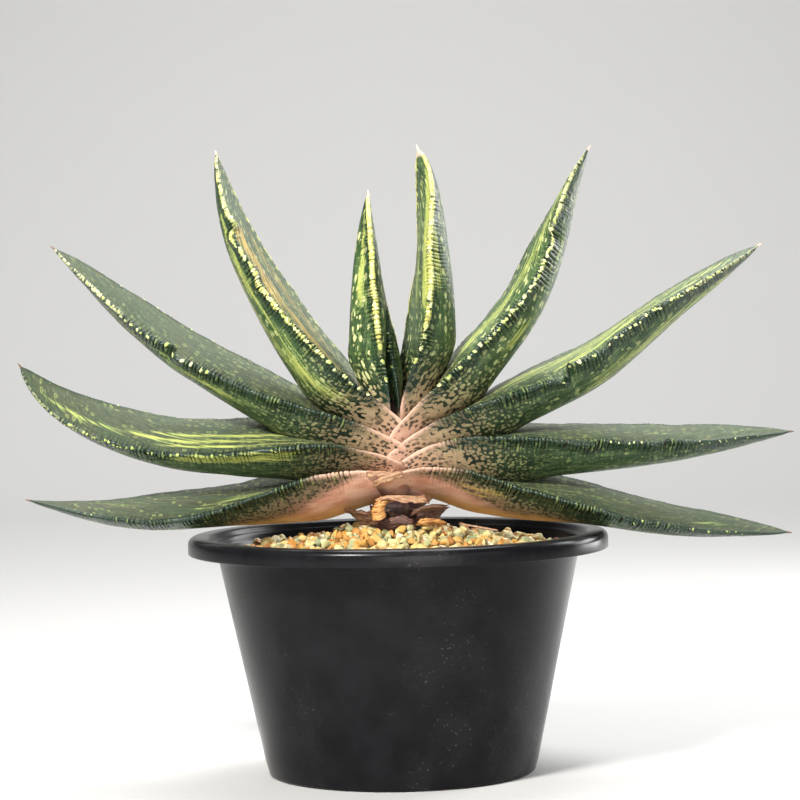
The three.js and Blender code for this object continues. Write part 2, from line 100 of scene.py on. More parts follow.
# Leaves, as the frame's solids have them. Base is where the spine starts, as X and Z. Lean is the
# spine's angle from upright and roll the section's turn about it, in degrees at even steps. Under
# is the section's depth below the spine, channel how high its margins stand, at even steps, and
# sway how far the tip stands along Y. The heel runs on behind the base.
#
# The rest shows only on the skin. A stripe is (face, place across, width, from, to, strength),
# where the place runs from -1 at the front margin to 1 at the back one, and from and to are shares
# of the length. A kink is (share of the length, depth, reach) and a crack is a share of the
# length. Bare is how far the pink base reaches, as a share of the length, and keel_bare how much
# further it reaches along the keel. Beads are (share of the length where they start, how many,
# size). Ochre, dusty, vivid and ribbon run from 0 to 1: the yellow of the keel, the matt upper
# face, the brighter green and how yellow the margin is. Dry_tip is the length of the dry point.
# A leaf has the usual values unless its own row gives others.
UPPER = 1
UNDER = 0
LEAF_USUAL = {
    "fullness": 1.8, "width_fullness": 2.6, "channel": [11, 4.5, 0.5, 0.2, 0], "stripes": [],
    "kinks": [], "cracks": [], "keel_bare": 0.02, "ochre": 0, "dry_tip": 2.5,
}
LEAVES = [
    {"name": "leaf_right_1", "side": 1, "base": [-5, 145.4], "length": 203,
     "lean": [70, 102, 98, 105, 99, 98], "roll": [12, 13, 18, 25], "width": 42, "base_width": 46,
     "under": 19, "sway": -8, "heel": 8, "heel_lean": 76, "fullness": 1.5,
     "channel": [9, 8, 0.5, 0.2, 0], "kinks": [(0.66, 0.8, 4)], "cracks": [0.505, 0.535, 0.59],
     "bare": 0.09, "keel_bare": 0.25, "ochre": 1, "dusty": 0.9, "vivid": 0.2, "beads": (0.62, 0.3, 0.5),
     "ribbon": 0, "stripes": [(UPPER, -0.35, 0.3, 0.3, 0.97, 0.45),
     (UPPER, -0.75, 0.25, 0.1, 0.45, 0.7), (UNDER, -0.85, 0.14, 0.1, 0.36, 0.75)]},
    {"name": "leaf_left_1", "side": -1, "base": [2, 143], "length": 188,
     "lean": [82, 96, 95, 97, 85, 80], "roll": [3, 7, 23, 4], "width": 41, "base_width": 43,
     "under": 18, "sway": 6, "heel": 8, "heel_lean": 84, "fullness": 1.5,
     "channel": [9, 8, 0.5, 0.2, 0], "cracks": [0.43, 0.47], "bare": 0.15, "keel_bare": 0.2,
     "ochre": 0.8, "dusty": 1, "vivid": 0, "beads": (0.8, 0.1, 0.4), "ribbon": 0,
     "stripes": [(UPPER, -0.6, 0.2, 0.16, 0.6, 0.85), (UPPER, 0.2, 0.5, 0.3, 0.98, 0.4)]},
    {"name": "leaf_right_2", "side": 1, "base": [9, 143], "length": 195,
     "lean": [41, 76, 89, 91, 89, 91], "roll": [-12, 7, 13, 20], "width": 44, "base_width": 40.5,
     "under": 24, "sway": 4, "heel": 12, "heel_lean": 60, "kinks": [(0.5, 1.6, 3.5), (0.67, 1.2, 3)],
     "cracks": [0.42, 0.503, 0.672], "bare": 0.05, "keel_bare": 0.04, "dusty": 0.75, "vivid": 0.3,
     "beads": (0.5, 0.42, 0.5), "ribbon": 0.1, "stripes": [(UNDER, -0.6, 0.2, 0.45, 0.95, 0.3),
     (UPPER, -0.5, 0.4, 0.3, 0.9, 0.3)]},
    {"name": "leaf_left_2", "side": -1, "base": [-2, 153], "length": 198,
     "lean": [58, 82, 89, 80, 65, 37], "roll": [18, 19, 31, 54], "width": 45, "base_width": 38,
     "under": 22, "sway": -4, "heel": 8, "heel_lean": 62, "bare": 0.02, "keel_bare": 0.03,
     "dusty": 0.85, "vivid": 0.2, "beads": (0.42, 0.7, 0.66), "ribbon": 0.25,
     "stripes": [(UPPER, -0.4, 0.32, 0.12, 0.97, 0.48), (UPPER, -0.16, 0.06, 0.12, 0.7, 1.15),
     (UPPER, -0.43, 0.07, 0.16, 0.98, 1.3), (UPPER, -0.7, 0.05, 0.14, 0.66, 1.2),
     (UNDER, -0.96, 0.05, 0.18, 0.62, 1.4)]},
    {"name": "leaf_right_3", "side": 1, "base": [9, 151.5], "length": 206,
     "lean": [36, 57, 67, 55, 60, 63], "roll": [-18, 9, 6, 18], "width": 44, "base_width": 35.5,
     "under": 20, "sway": -4, "heel": 14, "heel_lean": 46, "fullness": 2.4,
     "channel": [10, 2, 0.5, 0.5, 0], "kinks": [(0.445, 4.2, 2.8), (0.56, 1, 3)],
     "cracks": [0.3, 0.568], "bare": 0.03, "dusty": 0.3, "vivid": 0.45, "beads": (0.4, 0.75, 0.8),
     "ribbon": 0.35, "stripes": [(UPPER, -0.1, 0.5, 0.2, 0.97, 0.85),
     (UPPER, -0.6, 0.1, 0.35, 0.9, 1.2), (UNDER, -0.55, 0.2, 0.4, 0.97, 1),
     (UNDER, -0.15, 0.2, 0.4, 0.9, 0.8)]},
    {"name": "leaf_left_3", "side": -1, "base": [-6, 156], "length": 197,
     "lean": [49, 60, 61, 57, 51, 53], "roll": [-6, 13, 22, 24], "width": 44, "base_width": 33,
     "under": 19, "sway": 3, "heel": 12, "heel_lean": 52, "kinks": [(0.6, 3, 2.4)], "bare": 0.01,
     "dusty": 0.8, "vivid": 0.3, "beads": (0.5, 0.95, 0.85), "ribbon": 0.1,
     "stripes": [(UNDER, -0.82, 0.05, 0.2, 0.9, 1.1), (UNDER, -0.5, 0.3, 0.3, 0.8, 0.45)]},
    {"name": "leaf_right_4", "side": 1, "base": [8, 166], "length": 171,
     "lean": [28, 36, 42, 28, 24, 36], "roll": [0, 8, 15, -10], "width": 40, "base_width": 30.5,
     "under": 20, "sway": 3, "heel": 15, "heel_lean": 32, "fullness": 2.1,
     "channel": [11, 2.5, 0.5, 0.2, 0], "kinks": [(0.72, 1.6, 3)], "cracks": [0.47], "bare": 0.04,
     "dusty": 0.1, "vivid": 0.75, "beads": (0.18, 1, 1), "ribbon": 0.45,
     "stripes": [(UPPER, -0.2, 0.5, 0.2, 0.97, 0.85), (UNDER, -0.72, 0.06, 0.3, 0.78, 1.3),
     (UNDER, -0.3, 0.2, 0.4, 0.95, 0.5)]},
    {"name": "leaf_left_4", "side": -1, "base": [-6, 171], "length": 163,
     "lean": [38, 38, 34, 31, 21, 12], "roll": [2, 10, 18, 18], "width": 42, "base_width": 28,
     "under": 21, "sway": -3, "heel": 14, "heel_lean": 34, "fullness": 1.7,
     "kinks": [(0.765, 3, 2.4), (0.6, 1, 3)], "cracks": [0.575, 0.545], "bare": -0.01, "dusty": 0.2,
     "vivid": 0.6, "beads": (0.12, 1, 0.95), "ribbon": 0.7,
     "stripes": [(UNDER, -0.78, 0.1, 0.06, 0.88, 1.1), (UNDER, -0.4, 0.26, 0.15, 0.8, 0.85),
     (UPPER, -0.62, 0.3, 0.12, 0.85, 0.95), (UPPER, 0.1, 0.4, 0.2, 0.85, 0.7)]},
    {"name": "leaf_right_5", "side": 1, "base": [12, 187], "length": 125, "lean": [5, 4, 2, 2, 0, -16],
     "roll": [11, 14, 11, 28], "width": 37, "base_width": 25.5, "under": 18, "sway": -3, "heel": 18,
     "heel_lean": 24, "width_fullness": 3.8, "bare": -0.07, "dusty": 0, "vivid": 0.7,
     "beads": (0.15, 1, 1.25), "ribbon": 0.9, "dry_tip": 9,
     "stripes": [(UPPER, -0.72, 0.24, 0.3, 0.98, 1.4), (UPPER, 0, 0.3, 0.3, 0.95, 0.7),
     (UNDER, -0.92, 0.08, 0.36, 0.74, 1.4), (UNDER, -0.4, 0.16, 0.4, 0.95, 0.55)]},
    {"name": "leaf_left_5", "side": -1, "base": [-10, 185], "length": 105,
     "lean": [-12, -4, 3, 4, 4, 4], "roll": [15, 14, 4, 5], "width": 32, "base_width": 23, "under": 18,
     "sway": 3, "heel": 18, "heel_lean": 12, "bare": -0.09, "dusty": 0, "vivid": 1,
     "beads": (0.12, 1, 1.3), "ribbon": 1, "stripes": [(UNDER, -0.8, 0.12, 0.4, 0.98, 1.2),
     (UNDER, -0.2, 0.2, 0.4, 0.95, 0.3)]},
    {"name": "leaf_centre", "side": -1, "base": [1, 186], "length": 48, "lean": [4, 4, 5, 6, 6, 6],
     "roll": [6, 6, 6, 6], "width": 15, "base_width": 13, "under": 5, "sway": 5, "heel": 12,
     "heel_lean": 0, "channel": [1.5, 1, 0.5, 0.2, 0], "bare": -0.2, "keel_bare": 0, "dusty": 0,
     "vivid": 0.3, "beads": (0.3, 0.4, 0.7), "ribbon": 0.2},
]
LEAVES = [{**LEAF_USUAL, **leaf} for leaf in LEAVES]
SPINE_STEPS = 1600
FACE_SAMPLES = 181
LEAF_UPPER_FACE = 4
LEAF_FULL_WIDTH_AT = 0.28
LEAF_FULL_DEPTH_AT = 0.25
LEAF_BASE_DEPTH = 0.45
LEAF_EDGE = 0.25
TIP_ROUNDNESS = 0.8
SWAY_POWER = 1.6
SECTION_POWER = 1.3
HEEL_ROUNDING = 0.75
POINT_LENGTH = 2
POINT_START = 4
POINT_RADIUS = 0.85
POINT_POWER = 1.5

# Leaf relief: the margin's cord, its fine ridges and its beads. A groove is (place, width). Places
# are distances from the margin, above 0 on the upper face and below 0 on the under one.
STATION_STEP = 0.36
MARGIN_STEPS = [0, 0.4, 0.8, 1.25, 1.75, 2.4, 3.3, 4.6, 6.2, 8.2]
FACE_STEPS = 4
CORD_HEIGHT = 0.95
CORD_WIDTH = 1.6
GROOVE_DEPTH = 0.4
GROOVES = [(3.2, 1.4), (-6.2, 1.8)]
CRINKLE_PITCH = 1.9
CRINKLE_HEIGHT = 0.9
CRINKLE_REACH = 7
BEAD_HEIGHT = 0.24
CRACK_DEPTH = 1


# Small helpers


def smooth(low, high, x):
    k = np.clip((x - low) / (high - low), 0, 1)
    return k * k * (3 - 2 * k)


def through(values, t):
    """Smooth values or points at each t, from 0 to 1, through evenly spaced ones."""
    v = np.asarray(values, float)
    v = np.concatenate([[2 * v[0] - v[1]], v, [2 * v[-1] - v[-2]]])
    last = len(values) - 1
    place = np.clip(t, 0, 1) * last
    i = np.minimum(np.floor(place).astype(int), last - 1)
    f = (place - i).reshape(-1, *[1] * (v.ndim - 1))
    a, b, c, d = v[i], v[i + 1], v[i + 2], v[i + 3]
    return 0.5 * (2 * b + (c - a) * f + (2 * a - 5 * b + 4 * c - d) * f**2
                  + (3 * b - a - 3 * c + d) * f**3)


def wave(x, seed, count=6):
    """A smooth random curve of x, about -1 to 1, made of a few sines."""
    draw = np.random.default_rng(seed)
    total = np.zeros_like(np.asarray(x, float))
    for k in range(count):
        total = total + np.sin(x * 1.7**k + draw.uniform(0, 6.28)) * 0.7**k
    return total / 2


def circle(count):
    """Evenly spaced angles once round."""
    return np.arange(count) / count * 2 * math.pi


def grid_faces(rows, columns, closed):
    """Quads over a grid of vertices, closed round in the columns if asked."""
    r = np.arange(rows - 1)[:, None]
    c = np.arange(columns if closed else columns - 1)[None, :]
    a = r * columns + c
    b = r * columns + (c + 1) % columns
    return np.stack([a, b, b + columns, a + columns], -1).reshape(-1, 4).tolist()


def tube_faces(rows, columns):
    """Quads round a tube of vertex rings, with a flat cap at each end."""
    first = list(range(columns))
    last = [(rows - 1) * columns + i for i in first]
    return grid_faces(rows, columns, True) + [first[::-1], last]


def add_mesh(name, vertices, faces):
    mesh = bpy.data.meshes.new(name)
    mesh.from_pydata((np.asarray(vertices) * MM).tolist(), [], faces)
    mesh.validate()
    mesh.polygons.foreach_set("use_smooth", [True] * len(mesh.polygons))
    mesh.update()
    piece = bpy.data.objects.new(name, mesh)
    bpy.context.scene.collection.objects.link(piece)
    return piece


def add_value(piece, name, values):
    layer = piece.data.attributes.new(name, "FLOAT", "POINT")
    layer.data.foreach_set("value", np.asarray(values, np.float32).ravel())


def add_vector(piece, name, values):
    layer = piece.data.attributes.new(name, "FLOAT_VECTOR", "POINT")
    layer.data.foreach_set("vector", np.asarray(values, np.float32).ravel())


def finish_piece(piece, material, slot, *nodes):
    piece.data.materials.append(material)
    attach(piece, "root")
    if nodes:
        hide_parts(*nodes)


class Nodes:
    """A short way to write a material's node tree."""

    def __init__(self, name):
        self.material = bpy.data.materials.new(name)
        self.material.use_nodes = True
        self.tree = self.material.node_tree
        self.shader = self.tree.nodes["Principled BSDF"]

    def put(self, socket, value):
        if hasattr(value, "links"):
            self.tree.links.new(value, socket)
        else:
            socket.default_value = value

    def fill(self, node, inputs):
        for key, value in inputs.items():
            self.put(node.inputs[key.replace("_", " ")], value)

    def set(self, **inputs):
        self.fill(self.shader, inputs)

    def node(self, kind, **inputs):
        made = self.tree.nodes.new("ShaderNode" + kind)
        self.fill(made, inputs)
        return made

    def attribute(self, name, output="Fac"):
        made = self.node("Attribute")
        made.attribute_name = name
        return made.outputs[output]

    def object_place(self):
        return self.node("TexCoord").outputs["Object"]

    def math(self, operation, *values):
        made = self.node("Math")
        made.operation = operation
        for socket, value in zip(made.inputs, values):
            self.put(socket, value)
        return made.outputs[0]

    def plus(self, a, b):
        return self.math("ADD", a, b)

    def minus(self, a, b):
        return self.math("SUBTRACT", a, b)

    def times(self, a, b):
        return self.math("MULTIPLY", a, b)

    def larger(self, a, b):
        return self.math("MAXIMUM", a, b)

    def line(self, value, slope, start):
        """The value times the slope, on top of the start."""
        return self.math("MULTIPLY_ADD", value, slope, start)

    def step(self, value, low, high):
        """A smooth step from 0 at low to 1 at high, which may be the lower one."""
        made = self.node("MapRange", Value=value, From_Min=low, From_Max=high)
        made.interpolation_type = "SMOOTHSTEP"
        return made.outputs["Result"]

    def stretch(self, place, *scales):
        return self.node("Mapping", Vector=place, Scale=scales).outputs["Vector"]

    def noise(self, place, scale, detail, rough=0.55):
        """Noise at one scale, or at a scale of its own along each axis."""
        if isinstance(scale, tuple):
            place, scale = self.stretch(place, *scale), 1.0
        return self.node("TexNoise", Vector=place, Scale=scale, Detail=detail,
                         Roughness=rough).outputs["Fac"]

    def cells(self, place, scale):
        return self.node("TexVoronoi", Vector=place, Scale=scale)

    def mix(self, amount, a, b):
        made = self.node("Mix")
        made.data_type = "RGBA"
        for socket, value in ((0, amount), (6, a), (7, b)):
            self.put(made.inputs[socket], value)
        return made.outputs[2]

    def paint(self, under, mask, strength, over):
        """One colour laid over another where the mask is, as thickly as the strength."""
        return self.mix(self.times(mask, strength), under, over)

    def ramp(self, value, stops):
        made = self.node("ValToRGB", Fac=value)
        band = made.color_ramp
        while len(band.elements) < len(stops):
            band.elements.new(0.5)
        for element, (place, colour) in zip(band.elements, stops):
            element.position = place
            element.color = colour
        return made.outputs[0]

    def bump(self, height, distance, strength, **normal):
        return self.node("Bump", Height=height, Distance=distance, Strength=strength,
                         **normal).outputs["Normal"]

    def split(self, vector):
        return self.node("SeparateXYZ", Vector=vector).outputs


def rgb(*screen):
    """A colour from the usual 0 to 255 screen values."""
    linear = [((v / 255 + 0.055) / 1.055) ** 2.4 if v > 10 else v / 3294 for v in screen]
    return (*linear, 1)


# Camera at the photograph's viewing angle, with its slight turn
CAMERA_PLACE = (2.4, -1500, 240)
CAMERA_AIM = (2.4, 0, 186.2)
CAMERA_TURN = math.radians(1.16)
CAMERA_LENS = 135.1
CAMERA_SENSOR = 36

# Studio: a pale floor that curves up into a backdrop, and soft lights. A light is (name, place,
# aim, size, power, colour), with its lengths in metres.
FLOOR_HALF_WIDTH = 5000
FLOOR_FRONT = -3200
BACKDROP_PLACE = 2500
BACKDROP_HEIGHT = 3600
BACKDROP_BEND = 700
BEND_STEPS = 12
FLOOR_COLOUR = (0.5, 0.498, 0.49, 1)
SKY_COLOUR = (0.94, 0.96, 1, 1)
SKY_STRENGTH = 0.13
LIGHTS = [
    ("key", (-0.5, -0.9, 0.95), (0, 0, 0.19), (0.26, 0.26), 34, (1, 0.975, 0.94)),
    ("fill", (1.1, -1.1, 0.45), (0, 0, 0.16), (0.8, 0.8), 3, (1, 1, 1)),
    ("strip", (0.9, 0.62, 0.4), (0.03, 0, 0.14), (0.5, 1.0), 15, (1, 1, 1)),
    ("top", (0.1, 0.3, 1.2), (0, 0, 0.2), (0.7, 0.5), 13, (1, 1, 1)),
    ("wash", (0, 1.5, 2.2), (0, 2.4, 0.5), (1.5, 0.6), 45, (1, 1, 1)),
    ("low_fill", (0.2, -1.3, 0.14), (0, 0, 0.15), (0.8, 0.3), 6, (1, 0.98, 0.95)),
]


def aimed(place, aim):
    """A matrix that stands at a place and looks at another."""
    look = (Vector(aim) - Vector(place)).to_track_quat("-Z", "Y")
    return Matrix.Translation(place) @ look.to_matrix().to_4x4()


def make_camera():
    data = bpy.data.cameras.new("camera")
    data.lens = CAMERA_LENS
    data.sensor_width = CAMERA_SENSOR
    camera = bpy.data.objects.new("camera", data)
    stand = aimed(Vector(CAMERA_PLACE) * MM, Vector(CAMERA_AIM) * MM)
    camera.matrix_world = stand @ Matrix.Rotation(-CAMERA_TURN, 4, "Z")
    bpy.context.scene.collection.objects.link(camera)
    bpy.context.scene.camera = camera


def make_light(name, place, aim, size, power, colour):
    data = bpy.data.lights.new(name, "AREA")
    data.shape = "RECTANGLE"
    data.size, data.size_y = size
    data.energy = power
    data.color = colour
    light = bpy.data.objects.new(name, data)
    light.matrix_world = aimed(place, aim)
    bpy.context.scene.collection.objects.link(light)


def make_floor():
    flat_end = BACKDROP_PLACE - BACKDROP_BEND
    line = [(FLOOR_FRONT, 0), (flat_end, 0)]
    for k in range(1, BEND_STEPS + 1):
        a = k / BEND_STEPS * math.pi / 2
        line.append((flat_end + BACKDROP_BEND * math.sin(a),
                     BACKDROP_BEND - BACKDROP_BEND * math.cos(a)))
    line.append((BACKDROP_PLACE, BACKDROP_HEIGHT))
    vertices = [(x, y, z) for y, z in line for x in (-FLOOR_HALF_WIDTH, FLOOR_HALF_WIDTH)]
    floor = add_mesh("floor", vertices, grid_faces(len(line), 2, False))
    n = Nodes("studio_floor")
    n.set(Base_Color=FLOOR_COLOUR, Roughness=0.8)
    floor.data.materials.append(n.material)


def make_studio():
    make_floor()
    world = bpy.data.worlds.new("studio")
    world.use_nodes = True
    sky = world.node_tree.nodes["Background"]
    sky.inputs["Color"].default_value = SKY_COLOUR
    sky.inputs["Strength"].default_value = SKY_STRENGTH
    bpy.context.scene.world = world
    bpy.context.scene.view_settings.view_transform = "Standard"
    for light in LIGHTS:
        make_light(*light)


# Leaves


def taper(t, power):
    return np.maximum(1 - np.clip(t, 0, 1)**power, 0)**TIP_ROUNDNESS


def spine(leaf, distance):
    """Places, leans and shares of the length along the spine. Below 0 it is in the heel."""
    side, length = leaf["side"], leaf["length"]
    fine = np.linspace(0, length, SPINE_STEPS + 1)
    lean = np.radians(through(leaf["lean"], fine / length))
    run = length / SPINE_STEPS
    x, z = (np.concatenate([[0], np.cumsum((way(lean[1:]) + way(lean[:-1])) / 2)]) * run
            for way in (np.sin, np.cos))
    base_x, base_z = leaf["base"]
    inside = np.clip(distance, 0, length)
    past = np.maximum(distance - length, 0)
    heel = np.minimum(distance, 0)
    heel_lean = math.radians(leaf["heel_lean"])
    middle = math.radians((leaf["heel_lean"] + leaf["lean"][0]) / 2)
    px = base_x + side * (np.interp(inside, fine, x) + heel * math.sin(middle)
                          + past * math.sin(lean[-1]))
    pz = base_z + np.interp(inside, fine, z) + heel * math.cos(middle) + past * math.cos(lean[-1])
    angle = np.interp(inside, fine, lean) - heel / leaf["heel"] * (heel_lean - lean[0])
    return px, pz, angle, inside / length


def outline(leaf, distance, angles):
    """The smooth section at each station and angle, as across and up offsets from the spine."""
    t = np.clip(distance / leaf["length"], 0, 1)
    in_heel = np.clip(-distance / leaf["heel"], 0, 1)
    draw = np.sqrt(1 - HEEL_ROUNDING * in_heel**2)
    widen = smooth(0, LEAF_FULL_WIDTH_AT, t)
    deepen = LEAF_BASE_DEPTH + (1 - LEAF_BASE_DEPTH) * smooth(0, LEAF_FULL_DEPTH_AT, t)
    width = leaf["base_width"] + (leaf["width"] - leaf["base_width"]) * widen
    half = draw * (width / 2 * taper(t, leaf["width_fullness"]) + LEAF_EDGE)
    depth = draw * deepen * taper(t, leaf["fullness"])
    upper = LEAF_UPPER_FACE * depth + LEAF_EDGE / 2
    under = leaf["under"] * depth + LEAF_EDGE / 2
    channel = draw * through(leaf["channel"], t)
    c, s = np.cos(angles), np.sin(angles)
    reach = np.abs(s)**SECTION_POWER
    up = np.where(s > 0, upper[:, None] * reach, -under[:, None] * reach)
    p = half[:, None] * c
    q = up + channel[:, None] * c**2
    # The last few millimetres draw in to a small, hard, round-ended point
    along = (distance - leaf["length"] + POINT_START) / (POINT_START + POINT_LENGTH)
    radius = POINT_RADIUS * np.sqrt(np.clip(1 - np.clip(along, 0, 1)**POINT_POWER, 0.002, 1))
    point = smooth(0.2, 0.75, along)[:, None]
    p = p + point * (radius[:, None] * c - p)
    q = q + point * (radius[:, None] * s - q)
    return p, q


def face_columns(length):
    """Distances across one face, from margin to margin, closest together at the margins."""
    squeeze = min(1, length / (4 * MARGIN_STEPS[-1]))
    near = [step * squeeze for step in MARGIN_STEPS]
    half = near + list(np.linspace(near[-1], length / 2, FACE_STEPS + 1)[1:])
    return np.array(half + [length - step for step in half[-2::-1]])


def section_angles(leaf, distance):
    """Angles of the section's points at every station, and where they lie on its skin."""
    parts = {"angle": [], "from_back": [], "from_front": []}
    for face in (0, 1):
        fine = np.linspace(face * math.pi, (face + 1) * math.pi, FACE_SAMPLES)
        p, q = outline(leaf, distance, fine[None])
        run = np.cumsum(np.hypot(np.diff(p, axis=1), np.diff(q, axis=1)), 1)
        run = np.concatenate([np.zeros((len(distance), 1)), run], 1)
        columns = np.array([face_columns(total)[:-1] for total in run[:, -1]])
        angles = [np.interp(at, line, fine) for at, line in zip(columns, run)]
        parts["angle"].append(np.array(angles))
        ends = (columns, run[:, -1:] - columns)
        parts["from_back"].append(ends[face])
        parts["from_front"].append(ends[1 - face])
    grid = {key: np.concatenate(value, 1) for key, value in parts.items()}
    grid["above"] = np.repeat([1.0, -1.0], grid["angle"].shape[1] // 2)[None]
    turned = -run[:, -1:] / 2
    grid["around"] = turned - grid["from_front"]
    under = grid["above"][0] < 0
    grid["around"][:, under] = grid["from_front"][:, under] + turned
    return grid


def section_normals(p, q):
    """Unit normals that point out of each section."""
    dp = np.roll(p, -1, 1) - np.roll(p, 1, 1)
    dq = np.roll(q, -1, 1) - np.roll(q, 1, 1)
    length = np.hypot(dp, dq) + 1e-9
    return dq / length, -dp / length


def leaf_places(leaf, distance, p, q):
    """Points in the frame from section offsets at every station."""
    x, z, lean, t = spine(leaf, distance)
    side = leaf["side"]
    roll = np.radians(through(leaf["roll"], t))[:, None]
    lean = lean[:, None]
    out = p * np.sin(roll) + q * np.cos(roll)
    y = (leaf["sway"] * t**SWAY_POWER)[:, None] + p * np.cos(roll) - q * np.sin(roll)
    return np.stack([x[:, None] - out * np.cos(lean) * side, y,
                     z[:, None] + out * np.sin(lean)], -1)


def bead_field(leaf, distance, signed, front, draw):
    """Oval beads along both margins, loose by the base and running together outwards."""
    field = np.zeros_like(signed)
    start, amount, size = leaf["beads"]
    for is_front in (True, False):
        at = start * leaf["length"]
        while at < 0.985 * leaf["length"]:
            share = at / leaf["length"]
            outward = smooth(start, start + 0.35, share)
            long = size * draw.uniform(0.75, 1.5)
            wide = size * draw.uniform(0.6, 0.95) * (1.15 - 0.4 * outward)
            if draw.random() < amount:
                offset = draw.uniform(-0.8, 0.4)
                bend = offset + 0.25 * wave(distance / 1.4, draw.integers(1, 900))[:, None]
                round_off = ((distance[:, None] - at) / long)**2 + ((signed - bend) / wide)**2
                spot = np.exp(-round_off**2)
                field = np.maximum(field, np.where(front == is_front, spot, 0))
            at += long * draw.uniform(1.1, 2.6) + (1 - outward) * draw.uniform(2, 6) * size
    return field


def ridge_field(leaf, distance, t, signed, front, seed):
    """Rounded ridges with narrow valleys across the lower and middle margins, from -1 to 1."""
    field = np.zeros_like(signed)
    for is_front in (True, False):
        phase = distance / CRINKLE_PITCH * math.pi
        phase = phase + 2.2 * wave(distance / 7, seed + (4 if is_front else 5))
        strength = smooth(0.06, 0.18, t) * (1 - smooth(0.66, 0.94, t))
        strength = strength * np.clip(0.7 + 0.6 * wave(distance / 6, seed + 6 + is_front), 0, 1)
        bend = 0.32 * np.abs(signed) + 0.3 * wave(distance / 3, seed + 9)[:, None]
        valley = np.exp(-(np.sin(phase[:, None] + bend) / 0.42)**2)
        crest = 0.55 + 0.45 * wave(distance / 1.5, seed + 8)[:, None]
        reach = np.where(signed < -0.9, CRINKLE_REACH, 0.72 * CRINKLE_REACH)
        fade = np.exp(-(np.abs(signed + 0.9) / reach)**2.2)
        ridges = (crest - (1 + crest) * valley) * strength[:, None] * fade
        ridges = ridges if is_front else 0.2 * ridges
        field = np.where(front == is_front, ridges, field)
    return field


def add_kinks(leaf, distance, grid, p, q):
    """Draws the front margin in and steps it at each kink. Gives a painted shade in each crease too, as
    part of the scar mask.
    """
    c = np.cos(grid["angle"])
    toward_front = np.where(c < 0, c**2, 0)
    scar_and_shade = np.zeros_like(p)
    for share, depth, wide in leaf["kinks"]:
        gap = distance[:, None] - share * leaf["length"]
        p = p + depth * np.exp(-(gap / wide)**2) * toward_front**2
        swing = np.tanh(gap / (0.35 * wide)) * np.exp(-(gap / (3.2 * wide))**2)
        q = q + 0.85 * depth * swing * toward_front**3
        # Painted shade in the crease of the kink, carried in the scar mask
        crease_shade = np.exp(-(gap / 0.7)**2) * np.exp(-(grid["from_front"] / 3)**2)
        scar_and_shade = np.maximum(scar_and_shade, 0.6 * crease_shade)
    return p, q, scar_and_shade


def stripe_field(leaf, t, grid):
    c = np.cos(grid["angle"])
    field = np.zeros_like(c)
    for face, place, wide, start, end, strength in leaf["stripes"]:
        on_face = (grid["above"] > 0) == (face == UPPER)
        across = np.exp(-((c - place) / wide)**2) * on_face
        ends = (smooth(start, start + 0.12, t) * (1 - smooth(end - 0.1, end, t)))[:, None]
        field = np.maximum(field, across * ends * strength)
    return field


